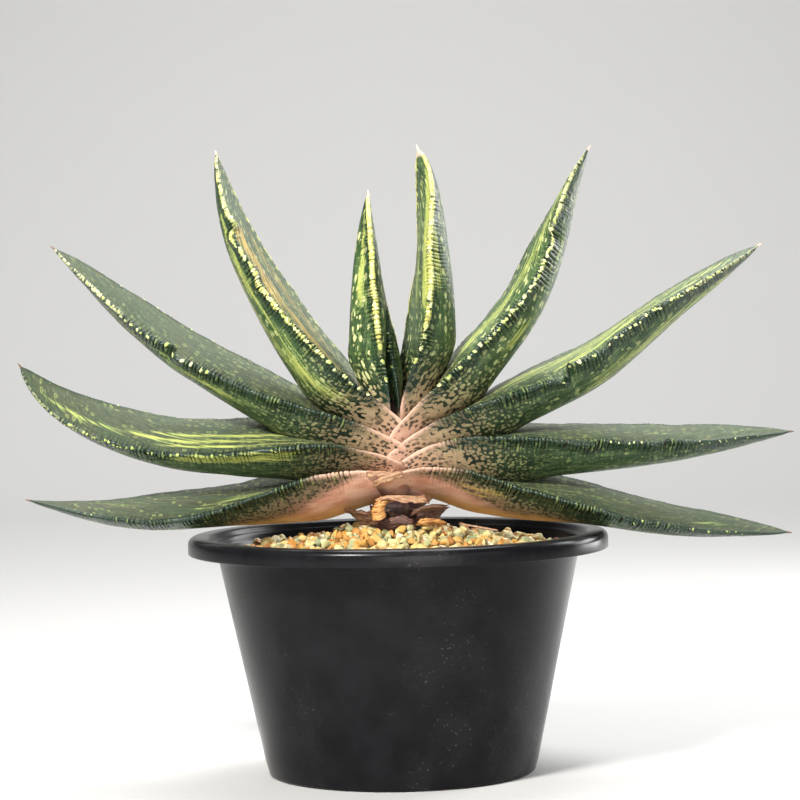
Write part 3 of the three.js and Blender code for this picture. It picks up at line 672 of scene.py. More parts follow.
def leaf_piece(leaf, seed, material):
    draw = np.random.default_rng(seed)
    length = leaf["length"]
    first, last = -leaf["heel"], length + POINT_LENGTH
    distance = np.linspace(first, last, int((last - first) / STATION_STEP))
    t = np.clip(distance / length, 0, 1)
    grid = section_angles(leaf, distance)
    p, q = outline(leaf, distance, grid["angle"])
    above = grid["above"]
    edge = np.minimum(grid["from_back"], grid["from_front"])
    front = grid["from_front"] < grid["from_back"]
    signed = edge * above

    # Slow waves of the margins and of the faces
    grown = (smooth(0, 25, distance) * taper(t, 4))[:, None]
    front_wave, back_wave = (wave(distance / 15, seed + k)[:, None] for k in (2, 3))
    q = q + 0.6 * grown * (np.where(front, front_wave, back_wave) * np.exp(-(edge / 9)**2))
    lift = np.zeros_like(p)
    for k in range(3):
        slow = wave(distance / (26 - 6 * k), seed + 20 + k, 4)[:, None]
        lift = lift + 0.3 * slow * wave(grid["around"] / (9 + 4 * k), seed + 30 + k, 3) * grown

    # The margin's rounded cord, with a groove on each side of it
    cord = ((0.2 + 0.8 * smooth(0.08, 0.35, t)) * taper(t, 5))[:, None]
    lift = lift + cord * CORD_HEIGHT * np.exp(-((signed + 0.3) / CORD_WIDTH)**2)
    for place, wide in GROOVES:
        lift = lift - cord * GROOVE_DEPTH * np.exp(-((signed - place) / wide)**2)
    ridge = ridge_field(leaf, distance, t, signed, front, seed)
    bead = bead_field(leaf, distance, signed, front, draw) * taper(t, 6)[:, None]
    lift = lift + CRINKLE_HEIGHT * ridge + BEAD_HEIGHT * bead

    # Kinks and cracks of the front margin
    p, q, scar_and_shade = add_kinks(leaf, distance, grid, p, q)
    for share in leaf["cracks"]:
        gap = distance[:, None] - share * length - draw.uniform(-0.5, 0.5) * signed
        reach = smooth(7, 2.5, np.where(front & (above < 0), edge, 99))
        crack = np.exp(-(gap / 0.5)**2) * reach
        scar_and_shade = np.maximum(scar_and_shade, crack)
        lift = lift - CRACK_DEPTH * crack
    normal_p, normal_q = section_normals(p, q)
    lift = lift * (1 - smooth(length - POINT_START, length - 1, distance))[:, None]
    vertices = leaf_places(leaf, distance, p + lift * normal_p, q + lift * normal_q)
    faces = tube_faces(*p.shape)
    if leaf["side"] < 0:
        faces = [face[::-1] for face in faces]
    piece = add_mesh(leaf["name"] + "_look", vertices.reshape(-1, 3), faces)

    # What the material reads at each point of the skin
    down = np.where(above < 0, np.abs(np.sin(grid["angle"])), 0)
    place = np.broadcast_arrays(distance[:, None], grid["around"], seed)
    add_vector(piece, "leaf_place", np.stack(place, -1))
    values = {
        "share": t[:, None],
        "reach": distance[:, None] / length - leaf["bare"] - leaf["keel_bare"] * smooth(0.2, 0.9, down),
        "edge": edge,
        "upper": smooth(-1.2, 1.2, signed),
        "stripe": stripe_field(leaf, t, grid),
        "ridge": ridge,
        "bead": bead,
        "scar_and_shade": scar_and_shade,
        "ochre": leaf["ochre"] * smooth(0.6, 0.97, down) * (1 - smooth(0.4, 0.62, t))[:, None],
        "point": smooth(length - leaf["dry_tip"], length + 1, distance)[:, None],
        "dusty": leaf["dusty"],
        "vivid": leaf["vivid"],
        "ribbon": leaf["ribbon"],
        "chain": leaf["beads"][1] * np.where(front, 1, 0.4),
    }
    for name, value in values.items():
        add_value(piece, "leaf_" + name, np.broadcast_to(value, p.shape))
    finish_piece(piece, material, "leaf", leaf["name"])


# Leaf colours
NIGHT_GREEN = rgb(13, 22, 16)
CORD_GREEN = rgb(20, 42, 30)
DARK_GREEN = rgb(27, 44, 30)
MID_GREEN = rgb(50, 72, 48)
VIVID_GREEN = rgb(54, 84, 42)
DUSTY_GREEN = rgb(45, 51, 35)
DUSTY_PALE = rgb(72, 73, 51)
DUST = rgb(122, 120, 98)
BLOTCH_GREEN = rgb(94, 114, 76)
SPOT_GREEN = rgb(124, 142, 82)
RING_GREEN = rgb(140, 156, 92)
SPOT_PALE = rgb(194, 198, 140)
SPOT_TAN = rgb(160, 138, 106)
SPOT_PEACH = rgb(184, 142, 116)
SALMON = rgb(190, 132, 110)
SHELL_PINK = rgb(214, 174, 152)
DRY_AND_SHADED_HEEL_BROWN = rgb(84, 54, 46)
OCHRE_UNDER = rgb(202, 154, 84)
STRIPE_YELLOW = rgb(204, 200, 108)
STRIPE_GREEN = rgb(142, 162, 86)
STRIPE_TAN = rgb(178, 140, 72)
BEAD_CREAM = rgb(206, 208, 156)
BEAD_GREEN = rgb(164, 178, 96)
SCAR_AND_SHADE_BROWN = rgb(44, 34, 24)
POINT_BROWN = rgb(104, 86, 68)
POINT_PALE = rgb(216, 190, 170)


def leaf_material():
    n = Nodes("gasteria_leaf")
    place = n.attribute("leaf_place", "Vector")
    share, reach, edge, upper, vivid, matt, yellow = (
        n.attribute("leaf_" + name)
        for name in ("share", "reach", "edge", "upper", "vivid", "dusty", "ribbon"))
    dusty = n.times(upper, matt)
    away = n.step(reach, 0.04, 0.36)
    along, around, number = n.split(place)

    def skin_noise(per_along, per_around, detail, rough=0.55):
        return n.noise(place, (per_along, per_around, 1), detail, rough)

    # Ground: near black by the base, greener outwards, with fine lengthwise streaks
    ground = n.mix(n.step(reach, 0.06, 0.42), NIGHT_GREEN, n.mix(vivid, MID_GREEN, VIVID_GREEN))
    cloud = skin_noise(0.04, 0.13, 3)
    streak = skin_noise(0.05, 0.9, 4, 0.6)
    blotch = skin_noise(0.1, 0.36, 4, 0.6)
    ground = n.paint(ground, n.step(cloud, 0.4, 0.64), 0.7, DARK_GREEN)
    ground = n.paint(ground, n.step(streak, 0.5, 0.7), 0.6, DARK_GREEN)
    ground = n.paint(ground, n.step(streak, 0.46, 0.3), n.times(away, 0.4), SPOT_GREEN)
    ground = n.paint(ground, n.step(blotch, 0.48, 0.62), n.times(away, 0.5), BLOTCH_GREEN)

    # The matt upper face, mottled in fine streaks and grain
    mottle = skin_noise(0.14, 0.5, 5, 0.66)
    sand = skin_noise(1.7, 2.2, 3, 0.7)
    speck = skin_noise(3.2, 3.6, 2, 0.6)
    dust = n.mix(n.step(mottle, 0.38, 0.66), DUSTY_GREEN, DUSTY_PALE)
    dust = n.paint(dust, n.step(cloud, 0.4, 0.66), 0.6, MID_GREEN)
    dust = n.paint(dust, n.step(sand, 0.5, 0.72), 0.35, DARK_GREEN)
    dust = n.paint(dust, n.step(speck, 0.56, 0.7), 0.5, DUST)
    ground = n.paint(ground, dusty, 0.92, dust)

    # Spots: crowded cells that run together near the base, loose ovals further out
    bend = skin_noise(0.5, 0.5, 2)
    scale = n.line(vivid, -0.34, 1.12)
    shifted = (n.plus(along, n.line(bend, 1.6, n.times(number, 7.3))),
               n.plus(around, n.line(bend, -1.2, n.times(number, 3.1))))
    plane = n.node("CombineXYZ", X=n.times(shifted[0], scale), Y=n.times(shifted[1], scale))
    plane = plane.outputs[0]

    def spots(per_along, per_around, radius, spread=0.12, softness=0.045):
        """Round cells on the leaf's skin: their mask, each one's random pick, and their depth."""
        cell = n.cells(n.stretch(plane, per_along, per_around, 0), 1.0)
        cell.voronoi_dimensions = "2D"
        pick = n.split(cell.outputs["Color"])
        inside = n.minus(n.line(pick[1], spread, radius), cell.outputs["Distance"])
        return n.step(inside, -softness, softness), pick, inside

    def some(mask, kept, pick):
        """Leaves only the share of the spots that is kept."""
        return n.times(mask, n.step(n.minus(kept, pick[0]), -0.02, 0.02))

    patchy = skin_noise(0.1, 0.2, 3)
    radius = n.line(n.step(reach, 0.3, 0.06), 0.12, 0.16)
    radius = n.line(n.step(reach, 0.14, 0.0), 0.17, radius)
    radius = n.plus(radius, n.line(patchy, 0.28, -0.14))
    kept = n.line(away, -0.55, 1.02)
    first, first_pick, _ = spots(0.35, 0.41, radius)
    second, pick, _ = spots(0.4, 0.47, radius)
    main = n.larger(some(first, kept, first_pick), some(second, n.line(away, -0.3, kept), pick))
    large, pick, _ = spots(0.2, 0.36, 0.17, 0.16, 0.04)
    large = n.times(some(large, n.line(vivid, 0.4, 0.08), pick), n.step(reach, -0.02, 0.1))
    fleck = n.times(n.step(skin_noise(0.1, 1.1, 4, 0.62), 0.57, 0.66), n.times(away, 0.5))
    radius = n.line(n.step(reach, -0.1, 0.08), 0.34, 0.1)
    radius = n.plus(radius, n.line(patchy, -0.3, 0.15))
    dark, pick, _ = spots(0.44, 0.54, radius)
    dark = some(dark, n.line(n.step(reach, -0.12, 0.06), 0.7, 0.3), pick)
    near_base = n.step(n.line(patchy, 0.1, reach), 0.12, 0.06)
    main = n.mix(near_base, main, n.line(dark, -0.85, 1.0))
    main = n.times(main, n.line(away, -0.25, 0.95))
    pattern = n.larger(n.larger(main, large), fleck)
    crisp = n.times(n.step(reach, 0.2, 0.05), n.step(matt, 0.9, 0.86))
    pattern = n.times(pattern, n.larger(n.line(vivid, 0.5, 0.5), crisp))
    pattern = n.times(pattern, n.line(dusty, -0.8, 1.0))
    pale = n.times(n.step(first_pick[2], 0.4, 0.9), n.line(vivid, 0.7, 0.25))
    pale = n.larger(pale, n.times(large, vivid))
    spot = n.mix(n.step(reach, 0.1, 0.3), SPOT_TAN, SPOT_GREEN)
    spot = n.mix(n.step(reach, 0.07, -0.04), spot, SPOT_PEACH)
    spot = n.paint(spot, pale, n.step(reach, 0.04, 0.22), SPOT_PALE)
    colour = n.mix(pattern, ground, spot)

    # Faint rings show through the dust of the upper face
    ring, pick, inside = spots(0.27, 0.31, 0.26, softness=0.05)
    hollow = n.line(n.step(inside, 0.1, 0.2), -0.6, 1.0)
    kept = n.line(n.step(share, 0.7, 0.2), 0.5, 0.04)
    kept = n.minus(kept, n.line(cloud, 0.6, pick[0]))
    ring = n.times(n.times(n.times(ring, hollow), dusty), n.step(kept, -0.36, -0.3))
    colour = n.paint(colour, ring, 0.62, RING_GREEN)

    # The bare base: salmon and shell pink, with a soft, streaky edge, and a dark brown heel that is
    # part dried base and part painted shade
    blush = skin_noise(0.07, 0.16, 4)
    fibres = skin_noise(0.05, 1.5, 4, 0.6)
    bare = n.plus(reach, n.line(blush, -0.12, 0.06))
    bare = n.plus(bare, n.line(fibres, 0.1, -0.05))
    # Dark heel below the base: part dried base, part painted shade
    dry_heel_and_shade = n.times(n.step(along, 2, -5), n.step(edge, 2.0, 8.0))
    skin = n.mix(n.step(blush, 0.35, 0.65), SALMON, SHELL_PINK)
    skin = n.paint(skin, n.step(fibres, 0.5, 0.72), 0.5, SPOT_TAN)
    skin = n.paint(skin, dry_heel_and_shade, 0.85, DRY_AND_SHADED_HEEL_BROWN)
    colour = n.mix(n.step(bare, -0.01, -0.08), colour, skin)

    # Yellow keel of the two lowest leaves
    keel = n.times(n.attribute("leaf_ochre"), n.line(skin_noise(0.05, 0.22, 4), 1.1, 0.5))
    colour = n.paint(colour, n.step(keel, 0.3, 1.0), 0.85, OCHRE_UNDER)

    # Variegation: bundles of broken yellow and tan streaks along the leaf
    band = n.attribute("leaf_stripe")
    breaks = skin_noise(0.028, 0.75, 5, 0.62)
    thin = skin_noise(0.04, 2.2, 3, 0.5)
    stripe = n.minus(n.line(breaks, 2.1, n.times(thin, 1.5)), 1.8)
    stripe = n.plus(n.times(band, 0.66), stripe)
    stripe = n.times(n.step(stripe, 0.42, 0.66), n.step(band, 0.1, 0.5))
    tan_side = n.times(upper, n.step(yellow, 0.6, 0.7))
    tan_side = n.times(tan_side, n.step(yellow, 0.8, 0.75))
    tan_side = n.larger(tan_side, n.step(reach, 0.22, 0.06))
    stripe_colour = n.mix(n.step(thin, 0.38, 0.6), STRIPE_YELLOW, STRIPE_GREEN)
    stripe_colour = n.paint(stripe_colour, tan_side, 0.8, STRIPE_TAN)
    colour = n.paint(colour, stripe, 0.92, stripe_colour)

    # The margin: a dark glossy cord, pale and thin by the base, yellow on the upright leaves
    below = n.times(n.minus(1.0, upper), n.step(edge, 7.4, 3.0))
    rim = n.larger(n.step(edge, 1.8, 0.7), n.times(below, 0.8))
    outer = n.step(reach, 0.02, 0.12)
    colour = n.paint(colour, n.times(rim, n.line(stripe, -0.7, 0.85)), outer, CORD_GREEN)
    pale_rim = n.times(n.step(edge, 2.6, 0.6), n.minus(1.0, outer))
    colour = n.paint(colour, pale_rim, 0.75, SHELL_PINK)
    ribbon = n.plus(yellow, n.line(skin_noise(0.2, 0.5, 4, 0.62), 2.0, -1.5))
    ribbon = n.times(n.step(ribbon, 0.15, 0.4), n.step(edge, 1.8, 1.0))
    colour = n.paint(colour, ribbon, n.step(share, 0.2, 0.4), STRIPE_YELLOW)

    # Ridges across the margin: painted shade in their valleys, some pale on their crests
    ridge = n.attribute("leaf_ridge")
    colour = n.paint(colour, n.step(ridge, 0.0, -0.45), 0.85, NIGHT_GREEN)
    crest = n.times(n.step(ridge, 0.2, 0.5), n.step(skin_noise(0.3, 0.3, 2), 0.5, 0.64))
    colour = n.paint(colour, crest, 0.7, SPOT_GREEN)

    # Beads, which close up to a pale chain near the tip, then the cracks' scars with the painted shade
    # of the kinks' creases, and the dry point
    chain = n.times(n.step(skin_noise(0.75, 0.3, 2), 0.46, 0.53), n.step(edge, 1.25, 0.75))
    chain = n.times(chain, n.step(share, 0.7, 0.84))
    chain = n.times(chain, n.step(n.attribute("leaf_chain"), 0.55, 0.95))
    colour = n.paint(colour, chain, 0.7, BEAD_CREAM)
    cream = n.times(n.step(skin_noise(0.35, 0.2, 2), 0.38, 0.6), n.step(matt, 0.84, 0.82))
    bead = n.mix(cream, BEAD_GREEN, BEAD_CREAM)
    point = n.mix(n.step(matt, 0.15, 0.7), POINT_PALE, POINT_BROWN)
    colour = n.mix(n.step(n.attribute("leaf_bead"), 0.35, 0.6), colour, bead)
    colour = n.mix(n.step(n.attribute("leaf_scar_and_shade"), 0.35, 0.8), colour, SCAR_AND_SHADE_BROWN)
    colour = n.mix(n.step(n.attribute("leaf_point"), 0.3, 0.7), colour, point)

    # Gloss and fine relief
    roughness = n.line(skin_noise(0.2, 0.5, 4), 0.26, 0.24)
    roughness = n.line(dusty, 0.38, roughness)
    roughness = n.line(n.times(rim, outer), -0.2, roughness)
    normal = n.bump(pattern, 0.0002, 0.5)
    normal = n.bump(fibres, 0.0004, 0.5, Normal=normal)
    normal = n.bump(sand, 0.0002, 0.6, Normal=normal)
    n.set(Base_Color=colour, Roughness=roughness, Normal=normal, Specular_IOR_Level=0.42)
    return n.material


# Pot, soil and gravel
PLASTIC_DARK = (0.0045, 0.0045, 0.0055, 1)
PLASTIC_PALE = (0.008, 0.008, 0.0095, 1)
PLASTIC_FILM = (0.07, 0.068, 0.064, 1)
PLASTIC_DUST = (0.22, 0.2, 0.17, 1)
GRAIN_COLOURS = [
    (0.0, rgb(134, 88, 38)), (0.08, rgb(184, 122, 46)), (0.22, rgb(202, 148, 62)),
    (0.36, rgb(204, 168, 90)), (0.5, rgb(208, 190, 130)), (0.64, rgb(170, 172, 114)),
    (0.78, rgb(142, 156, 120)), (0.88, rgb(196, 184, 128)), (0.97, rgb(230, 222, 188)),
]
GRAIN_STAIN = rgb(150, 100, 36)
GRAIN_GRIT = rgb(236, 228, 200)
GRAIN_SHADE = rgb(44, 28, 16)
SOIL_DARK = rgb(44, 32, 24)
SOIL_PALE = rgb(98, 74, 52)


def pot_radius(z):
    return POT_BASE_RADIUS + (POT_TOP_RADIUS - POT_BASE_RADIUS) * z / (POT_HEIGHT - LIP_DEPTH)


def arc(centre, radius, start, end, steps):
    """Points on an arc in degrees, as [radius, height] pairs."""
    angles = np.radians(np.linspace(start, end, steps))
    return [[centre[0] + radius * math.cos(a), centre[1] + radius * math.sin(a)] for a in angles]


def straight(start, end, steps):
    """Points on a line after its start, as [radius, height] pairs."""
    return np.linspace(start, end, steps + 1)[1:].tolist()


def pot_profile():
    """The pot's section, up its outside from the floor's ring, over the lip and down inside."""
    low, under = POT_HEIGHT - LIP_DEPTH, POT_HEIGHT - LIP_THICKNESS
    slope = POT_HEIGHT - LIP_SLOPE_DEPTH
    skirt = LIP_RADIUS - LIP_SKIRT
    foot = POT_BASE_RADIUS - POT_FOOT_BEVEL
    inside_top = pot_radius(slope) - POT_WALL
    profile = [[FLOOR_RING, 0], [foot, 0]]
    profile += arc((foot, POT_FOOT_BEVEL), POT_FOOT_BEVEL, -70, 0, 5)
    profile += straight((pot_radius(POT_FOOT_BEVEL), POT_FOOT_BEVEL), (pot_radius(low), low), 24)
    profile += [[pot_radius(low) + 0.5, low + 0.8]]
    profile += straight((pot_radius(low) + 0.6, low + 1), (pot_radius(under), under - 0.6), 3)
    profile += [[pot_radius(under) + 0.6, under], [skirt - LIP_FILLET, under]]
    profile += arc((skirt - LIP_FILLET, under - LIP_FILLET), LIP_FILLET, 80, 0, 4)
    profile += [[skirt, low + 0.4], [skirt + 0.3, low], [LIP_RADIUS - 0.35, low]]
    profile += arc((LIP_RADIUS - LIP_EDGE, low + LIP_EDGE), LIP_EDGE, -60, 0, 3)
    profile += arc((LIP_RADIUS - LIP_ROUND, POT_HEIGHT - LIP_ROUND), LIP_ROUND, 0, 90, 12)
    profile += [[LIP_INNER_RADIUS + 1.6, POT_HEIGHT]]
    profile += arc((LIP_INNER_RADIUS + 1.4, POT_HEIGHT - LIP_INNER_ROUND), LIP_INNER_ROUND,
                   96, 160, 6)
    profile += straight((LIP_INNER_RADIUS - 1.2, POT_HEIGHT - 2.6), (inside_top, slope), 5)
    profile += straight((inside_top, slope), (pot_radius(POT_FLOOR) - POT_WALL, POT_FLOOR), 8)
    return profile + [[FLOOR_RING, POT_FLOOR]]


def pot_piece(material):
    profile = pot_profile()
    angles = circle(POT_SEGMENTS)
    vertices = [(r * c, r * s, z) for r, z in profile for c, s in zip(np.cos(angles), np.sin(angles))]
    faces = grid_faces(len(profile), POT_SEGMENTS, True)
    floor_vertices, floor_faces = drained_floor(len(vertices), len(profile))
    piece = add_mesh("pot_look", vertices + floor_vertices, faces + floor_faces)
    sharpen(piece, POT_CREASE)
    finish_piece(piece, material, "pot", "pot")


def drained_floor(first, rows):
    """Both faces of the floor inside its ring, with round drainage holes between them."""
    sector = POT_SEGMENTS // DRAIN_HOLES
    size = sector + 1 + DRAIN_BACK_POINTS
    vertices = [(0, 0, 0), (0, 0, POT_FLOOR)]
    faces = []
    for hole in range(DRAIN_HOLES):
        middle = hole / DRAIN_HOLES * 2 * math.pi
        cx, cy = DRAIN_CIRCLE * math.cos(middle), DRAIN_CIRCLE * math.sin(middle)

        # Angles round the hole: in step with the ring outside it, and evenly behind
        ring = [middle + (k / sector - 0.5) * 2 * math.pi / DRAIN_HOLES for k in range(sector + 1)]
        around = np.unwrap([math.atan2(FLOOR_RING * math.sin(a) - cy, FLOOR_RING * math.cos(a) - cx)
                            for a in ring])
        back = np.linspace(around[-1], around[0] + 2 * math.pi, DRAIN_BACK_POINTS + 2)[1:-1]
        start = first + len(vertices)
        for level in (0, POT_FLOOR):
            vertices += [(cx + DRAIN_RADIUS * math.cos(a), cy + DRAIN_RADIUS * math.sin(a), level)
                         for a in (*around, *back)]

        # Quads out to the ring, and a fan to the floor's middle
        shift = round((middle / (2 * math.pi) - 0.5 / DRAIN_HOLES) * POT_SEGMENTS)
        for centre, row in ((0, 0), (1, rows - 1)):
            edge = [start + centre * size + k for k in range(size)]
            outer = [row * POT_SEGMENTS + (shift + k) % POT_SEGMENTS for k in range(sector + 1)]
            found = [(outer[k], outer[k + 1], edge[k + 1], edge[k]) for k in range(sector)]
            fan = [outer[-1], *edge[sector:], edge[0], outer[0]]
            found += [(a, first + centre, b) for a, b in zip(fan, fan[1:])]
            faces += found if centre else [face[::-1] for face in found]
        for k in range(size):
            a, b = start + k, start + (k + 1) % size
            faces.append((a, a + size, b + size, b))
    return vertices, faces


def sharpen(piece, degrees):
    """Keeps edges sharper than an angle crisp."""
    piece.data.set_sharp_from_angle(angle=math.radians(degrees))


def plastic_material():
    n = Nodes("black_nursery_plastic")
    place = n.object_place()
    soft = n.noise(place, 60, 4)
    fine = n.noise(place, 900, 3)
    rings = n.noise(place, (4, 4, 420), 2)
    dust = n.noise(place, 14, 5, 0.65)
    lip = n.step(n.split(place)[2], 0.108, 0.114)
    speck = n.step(n.cells(place, 420).outputs["Distance"], 0.17, 0.07)
    speck = n.times(speck, n.step(dust, 0.5, 0.7))
    colour = n.mix(n.step(soft, 0.3, 0.7), PLASTIC_DARK, PLASTIC_PALE)
    colour = n.paint(colour, n.step(dust, 0.5, 0.8), n.line(lip, 0.3, 0.12), PLASTIC_FILM)
    colour = n.paint(colour, speck, 0.6, PLASTIC_DUST)
    roughness = n.line(soft, 0.1, 0.17)
    roughness = n.line(n.step(dust, 0.45, 0.8), 0.2, roughness)
    normal = n.bump(rings, 0.0002, 0.3)
    normal = n.bump(fine, 0.00005, 0.4, Normal=normal)
    n.set(Base_Color=colour, Roughness=roughness, Normal=normal, Specular_IOR_Level=0.13)
    return n.material


def bed_height(radius):
    return BED_EDGE_HEIGHT + BED_MOUND * np.exp(-(radius / BED_MOUND_SPREAD)**2)


def grain_shape():
    """A cube's surface in a small grid, pushed most of the way out to a ball."""
    index, faces = {}, []
    for axis in range(3):
        for side in (0, GRAIN_STEPS):
            for a in range(GRAIN_STEPS):
                for b in range(GRAIN_STEPS):
                    quad = []
                    for da, db in ((0, 0), (1, 0), (1, 1), (0, 1)):
                        corner = [0, 0, 0]
                        corner[axis] = side
                        corner[(axis + 1) % 3] = a + da
                        corner[(axis + 2) % 3] = b + db
                        quad.append(index.setdefault(tuple(corner), len(index)))
                    faces.append(quad if side else quad[::-1])
    cube = np.array(list(index), float) / GRAIN_STEPS * 2 - 1
    ball = cube / np.linalg.norm(cube, axis=1)[:, None]
    return ball * 0.75 + cube * 0.25, np.array(faces)


def grain_places(draw):
    """Grain centres over the bed: a hexagonal layer and a loose second one."""
    places = []
    row_step = GRAIN_SPACING * 0.866
    rows = int(BED_RADIUS * 2 / row_step) + 2
    for row in range(rows):
        for column in range(rows + 6):
            x = -BED_RADIUS - 6 + (column + (row % 2) / 2) * GRAIN_SPACING
            places.append((x, -BED_RADIUS + row * row_step, 0))
    for _ in range(LOOSE_GRAINS):
        radius = BED_RADIUS * math.sqrt(draw.random())
        angle = draw.uniform(0, 2 * math.pi)
        places.append((radius * math.cos(angle), radius * math.sin(angle), 1))
    return places


def gravel_piece(material):
    """Grains that are cut by random planes, jittered, turned and laid on the bed."""
    draw = np.random.default_rng(GRAIN_SEED)
    shape, quads = grain_shape()
    vertices, faces, tints, lows = [], [], [], []
    for x, y, layer in grain_places(draw):
        x += draw.uniform(-GRAIN_JITTER, GRAIN_JITTER)
        y += draw.uniform(-GRAIN_JITTER, GRAIN_JITTER)
        radius = math.hypot(x, y)
        size = draw.uniform(*GRAIN_SIZES)
        from_stem = math.hypot(x / STEM_CLEARANCE[0], y / STEM_CLEARANCE[1])
        if radius > BED_RADIUS - size - 0.4 or from_stem < 1.05:
            continue
        grain = shape
        for _ in range(GRAIN_CUTS):
            way = draw.normal(size=3)
            way /= np.linalg.norm(way)
            over = np.maximum(grain @ way - draw.uniform(*GRAIN_CUT_DEPTHS), 0)
            grain = grain - over[:, None] * way
        grain = grain * draw.uniform(*GRAIN_STRETCH, 3) * size
        turn = np.array(Matrix.Rotation(draw.uniform(0, 6.28), 3, Vector(draw.normal(size=3))))
        grain = grain @ turn.T
        height = bed_height(radius) + GRAVEL_BED + LAYER_HEIGHTS[layer] + draw.uniform(-0.8, 1.0)
        faces.append(quads + len(vertices) * len(shape))
        vertices.append(grain + (x, y, height))
        # Each point's height on its grain, which the material turns into painted shade towards the
        # grain's underside
        lows.append(grain[:, 2] / size)
        tints.append(draw.random())
    piece = add_mesh("gravel_look", np.concatenate(vertices), np.concatenate(faces).tolist())
    sharpen(piece, GRAIN_CREASE)
    add_value(piece, "grain_tint", np.repeat(tints, len(shape)))
    add_value(piece, "grain_low", np.concatenate(lows))
    finish_piece(piece, material, "gravel", "gravel")


def bed_piece(material):
    """The dusty small stuff between the grains, over the soil."""
    radii = np.linspace(BED_HOLE, BED_RADIUS - 0.3, BED_RINGS)[:, None]
    angles = circle(BED_SIDES)
    x, y = radii * np.cos(angles), radii * np.sin(angles)
    lift = 0.5 * wave(x / 3, 5) * wave(y / 3, 6)
    base = bed_height(radii)
    top = np.stack([x, y, base + GRAVEL_BED - 0.6 + lift], -1).reshape(-1, 3)
    low = np.stack(np.broadcast_arrays(x, y, base + 0.5), -1).reshape(-1, 3)
    count = len(top)
    under = grid_faces(BED_RINGS, BED_SIDES, True)
    faces = [face[::-1] for face in under] + [[i + count for i in face] for face in under]
    outer = (BED_RINGS - 1) * BED_SIDES
    for k in range(BED_SIDES):
        n = (k + 1) % BED_SIDES
        faces.append((k, n, count + n, count + k))
        faces.append((count + outer + k, count + outer + n, outer + n, outer + k))
    piece = add_mesh("gravel_bed", np.concatenate([top, low]), faces)
    add_value(piece, "grain_tint", np.full(2 * count, 0.05))
    # The low value gives the whole bed between the grains the gravel material's full painted shade
    add_value(piece, "grain_low", np.full(2 * count, -0.5))
    finish_piece(piece, material, "gravel")


def gravel_material():
    n = Nodes("tan_gravel")
    place = n.object_place()
    mottle = n.noise(place, 380, 5, 0.65)
    grit = n.noise(place, 1500, 3)
    # Painted shade: darker towards each grain's underside, and over the whole bed between the grains
    low = n.step(n.attribute("grain_low"), 0.25, -0.65)
    colour = n.ramp(n.attribute("grain_tint"), GRAIN_COLOURS)
    colour = n.paint(colour, n.step(mottle, 0.42, 0.66), 0.4, GRAIN_STAIN)
    colour = n.paint(colour, n.step(grit, 0.5, 0.7), 0.25, GRAIN_GRIT)
    colour = n.paint(colour, low, 0.8, GRAIN_SHADE)
    normal = n.bump(mottle, 0.0008, 0.8)
    normal = n.bump(grit, 0.0003, 0.7, Normal=normal)
    n.set(Base_Color=colour, Roughness=n.line(grit, 0.25, 0.45), Normal=normal)
    return n.material


def soil_material():
    n = Nodes("potting_mix")
    lumps = n.noise(n.object_place(), 180, 5, 0.7)
    colour = n.mix(n.step(lumps, 0.3, 0.7), SOIL_DARK, SOIL_PALE)
    n.set(Base_Color=colour, Roughness=0.95, Normal=n.bump(lumps, 0.002, 0.8))
    return n.material


# Stem and dried sheaths
BARK_DARK = rgb(24, 14, 14)
BARK_PALE = rgb(74, 46, 34)
BARK_PLUM = rgb(52, 26, 38)
BARK_TAN = rgb(128, 92, 64)
STEM_RINGS = 220
STEM_SIDES = 120
SCRAP_ROWS = 36
SCRAP_COLUMNS = 56
MARGIN_ROWS = 14
MARGIN_COLUMNS = 70

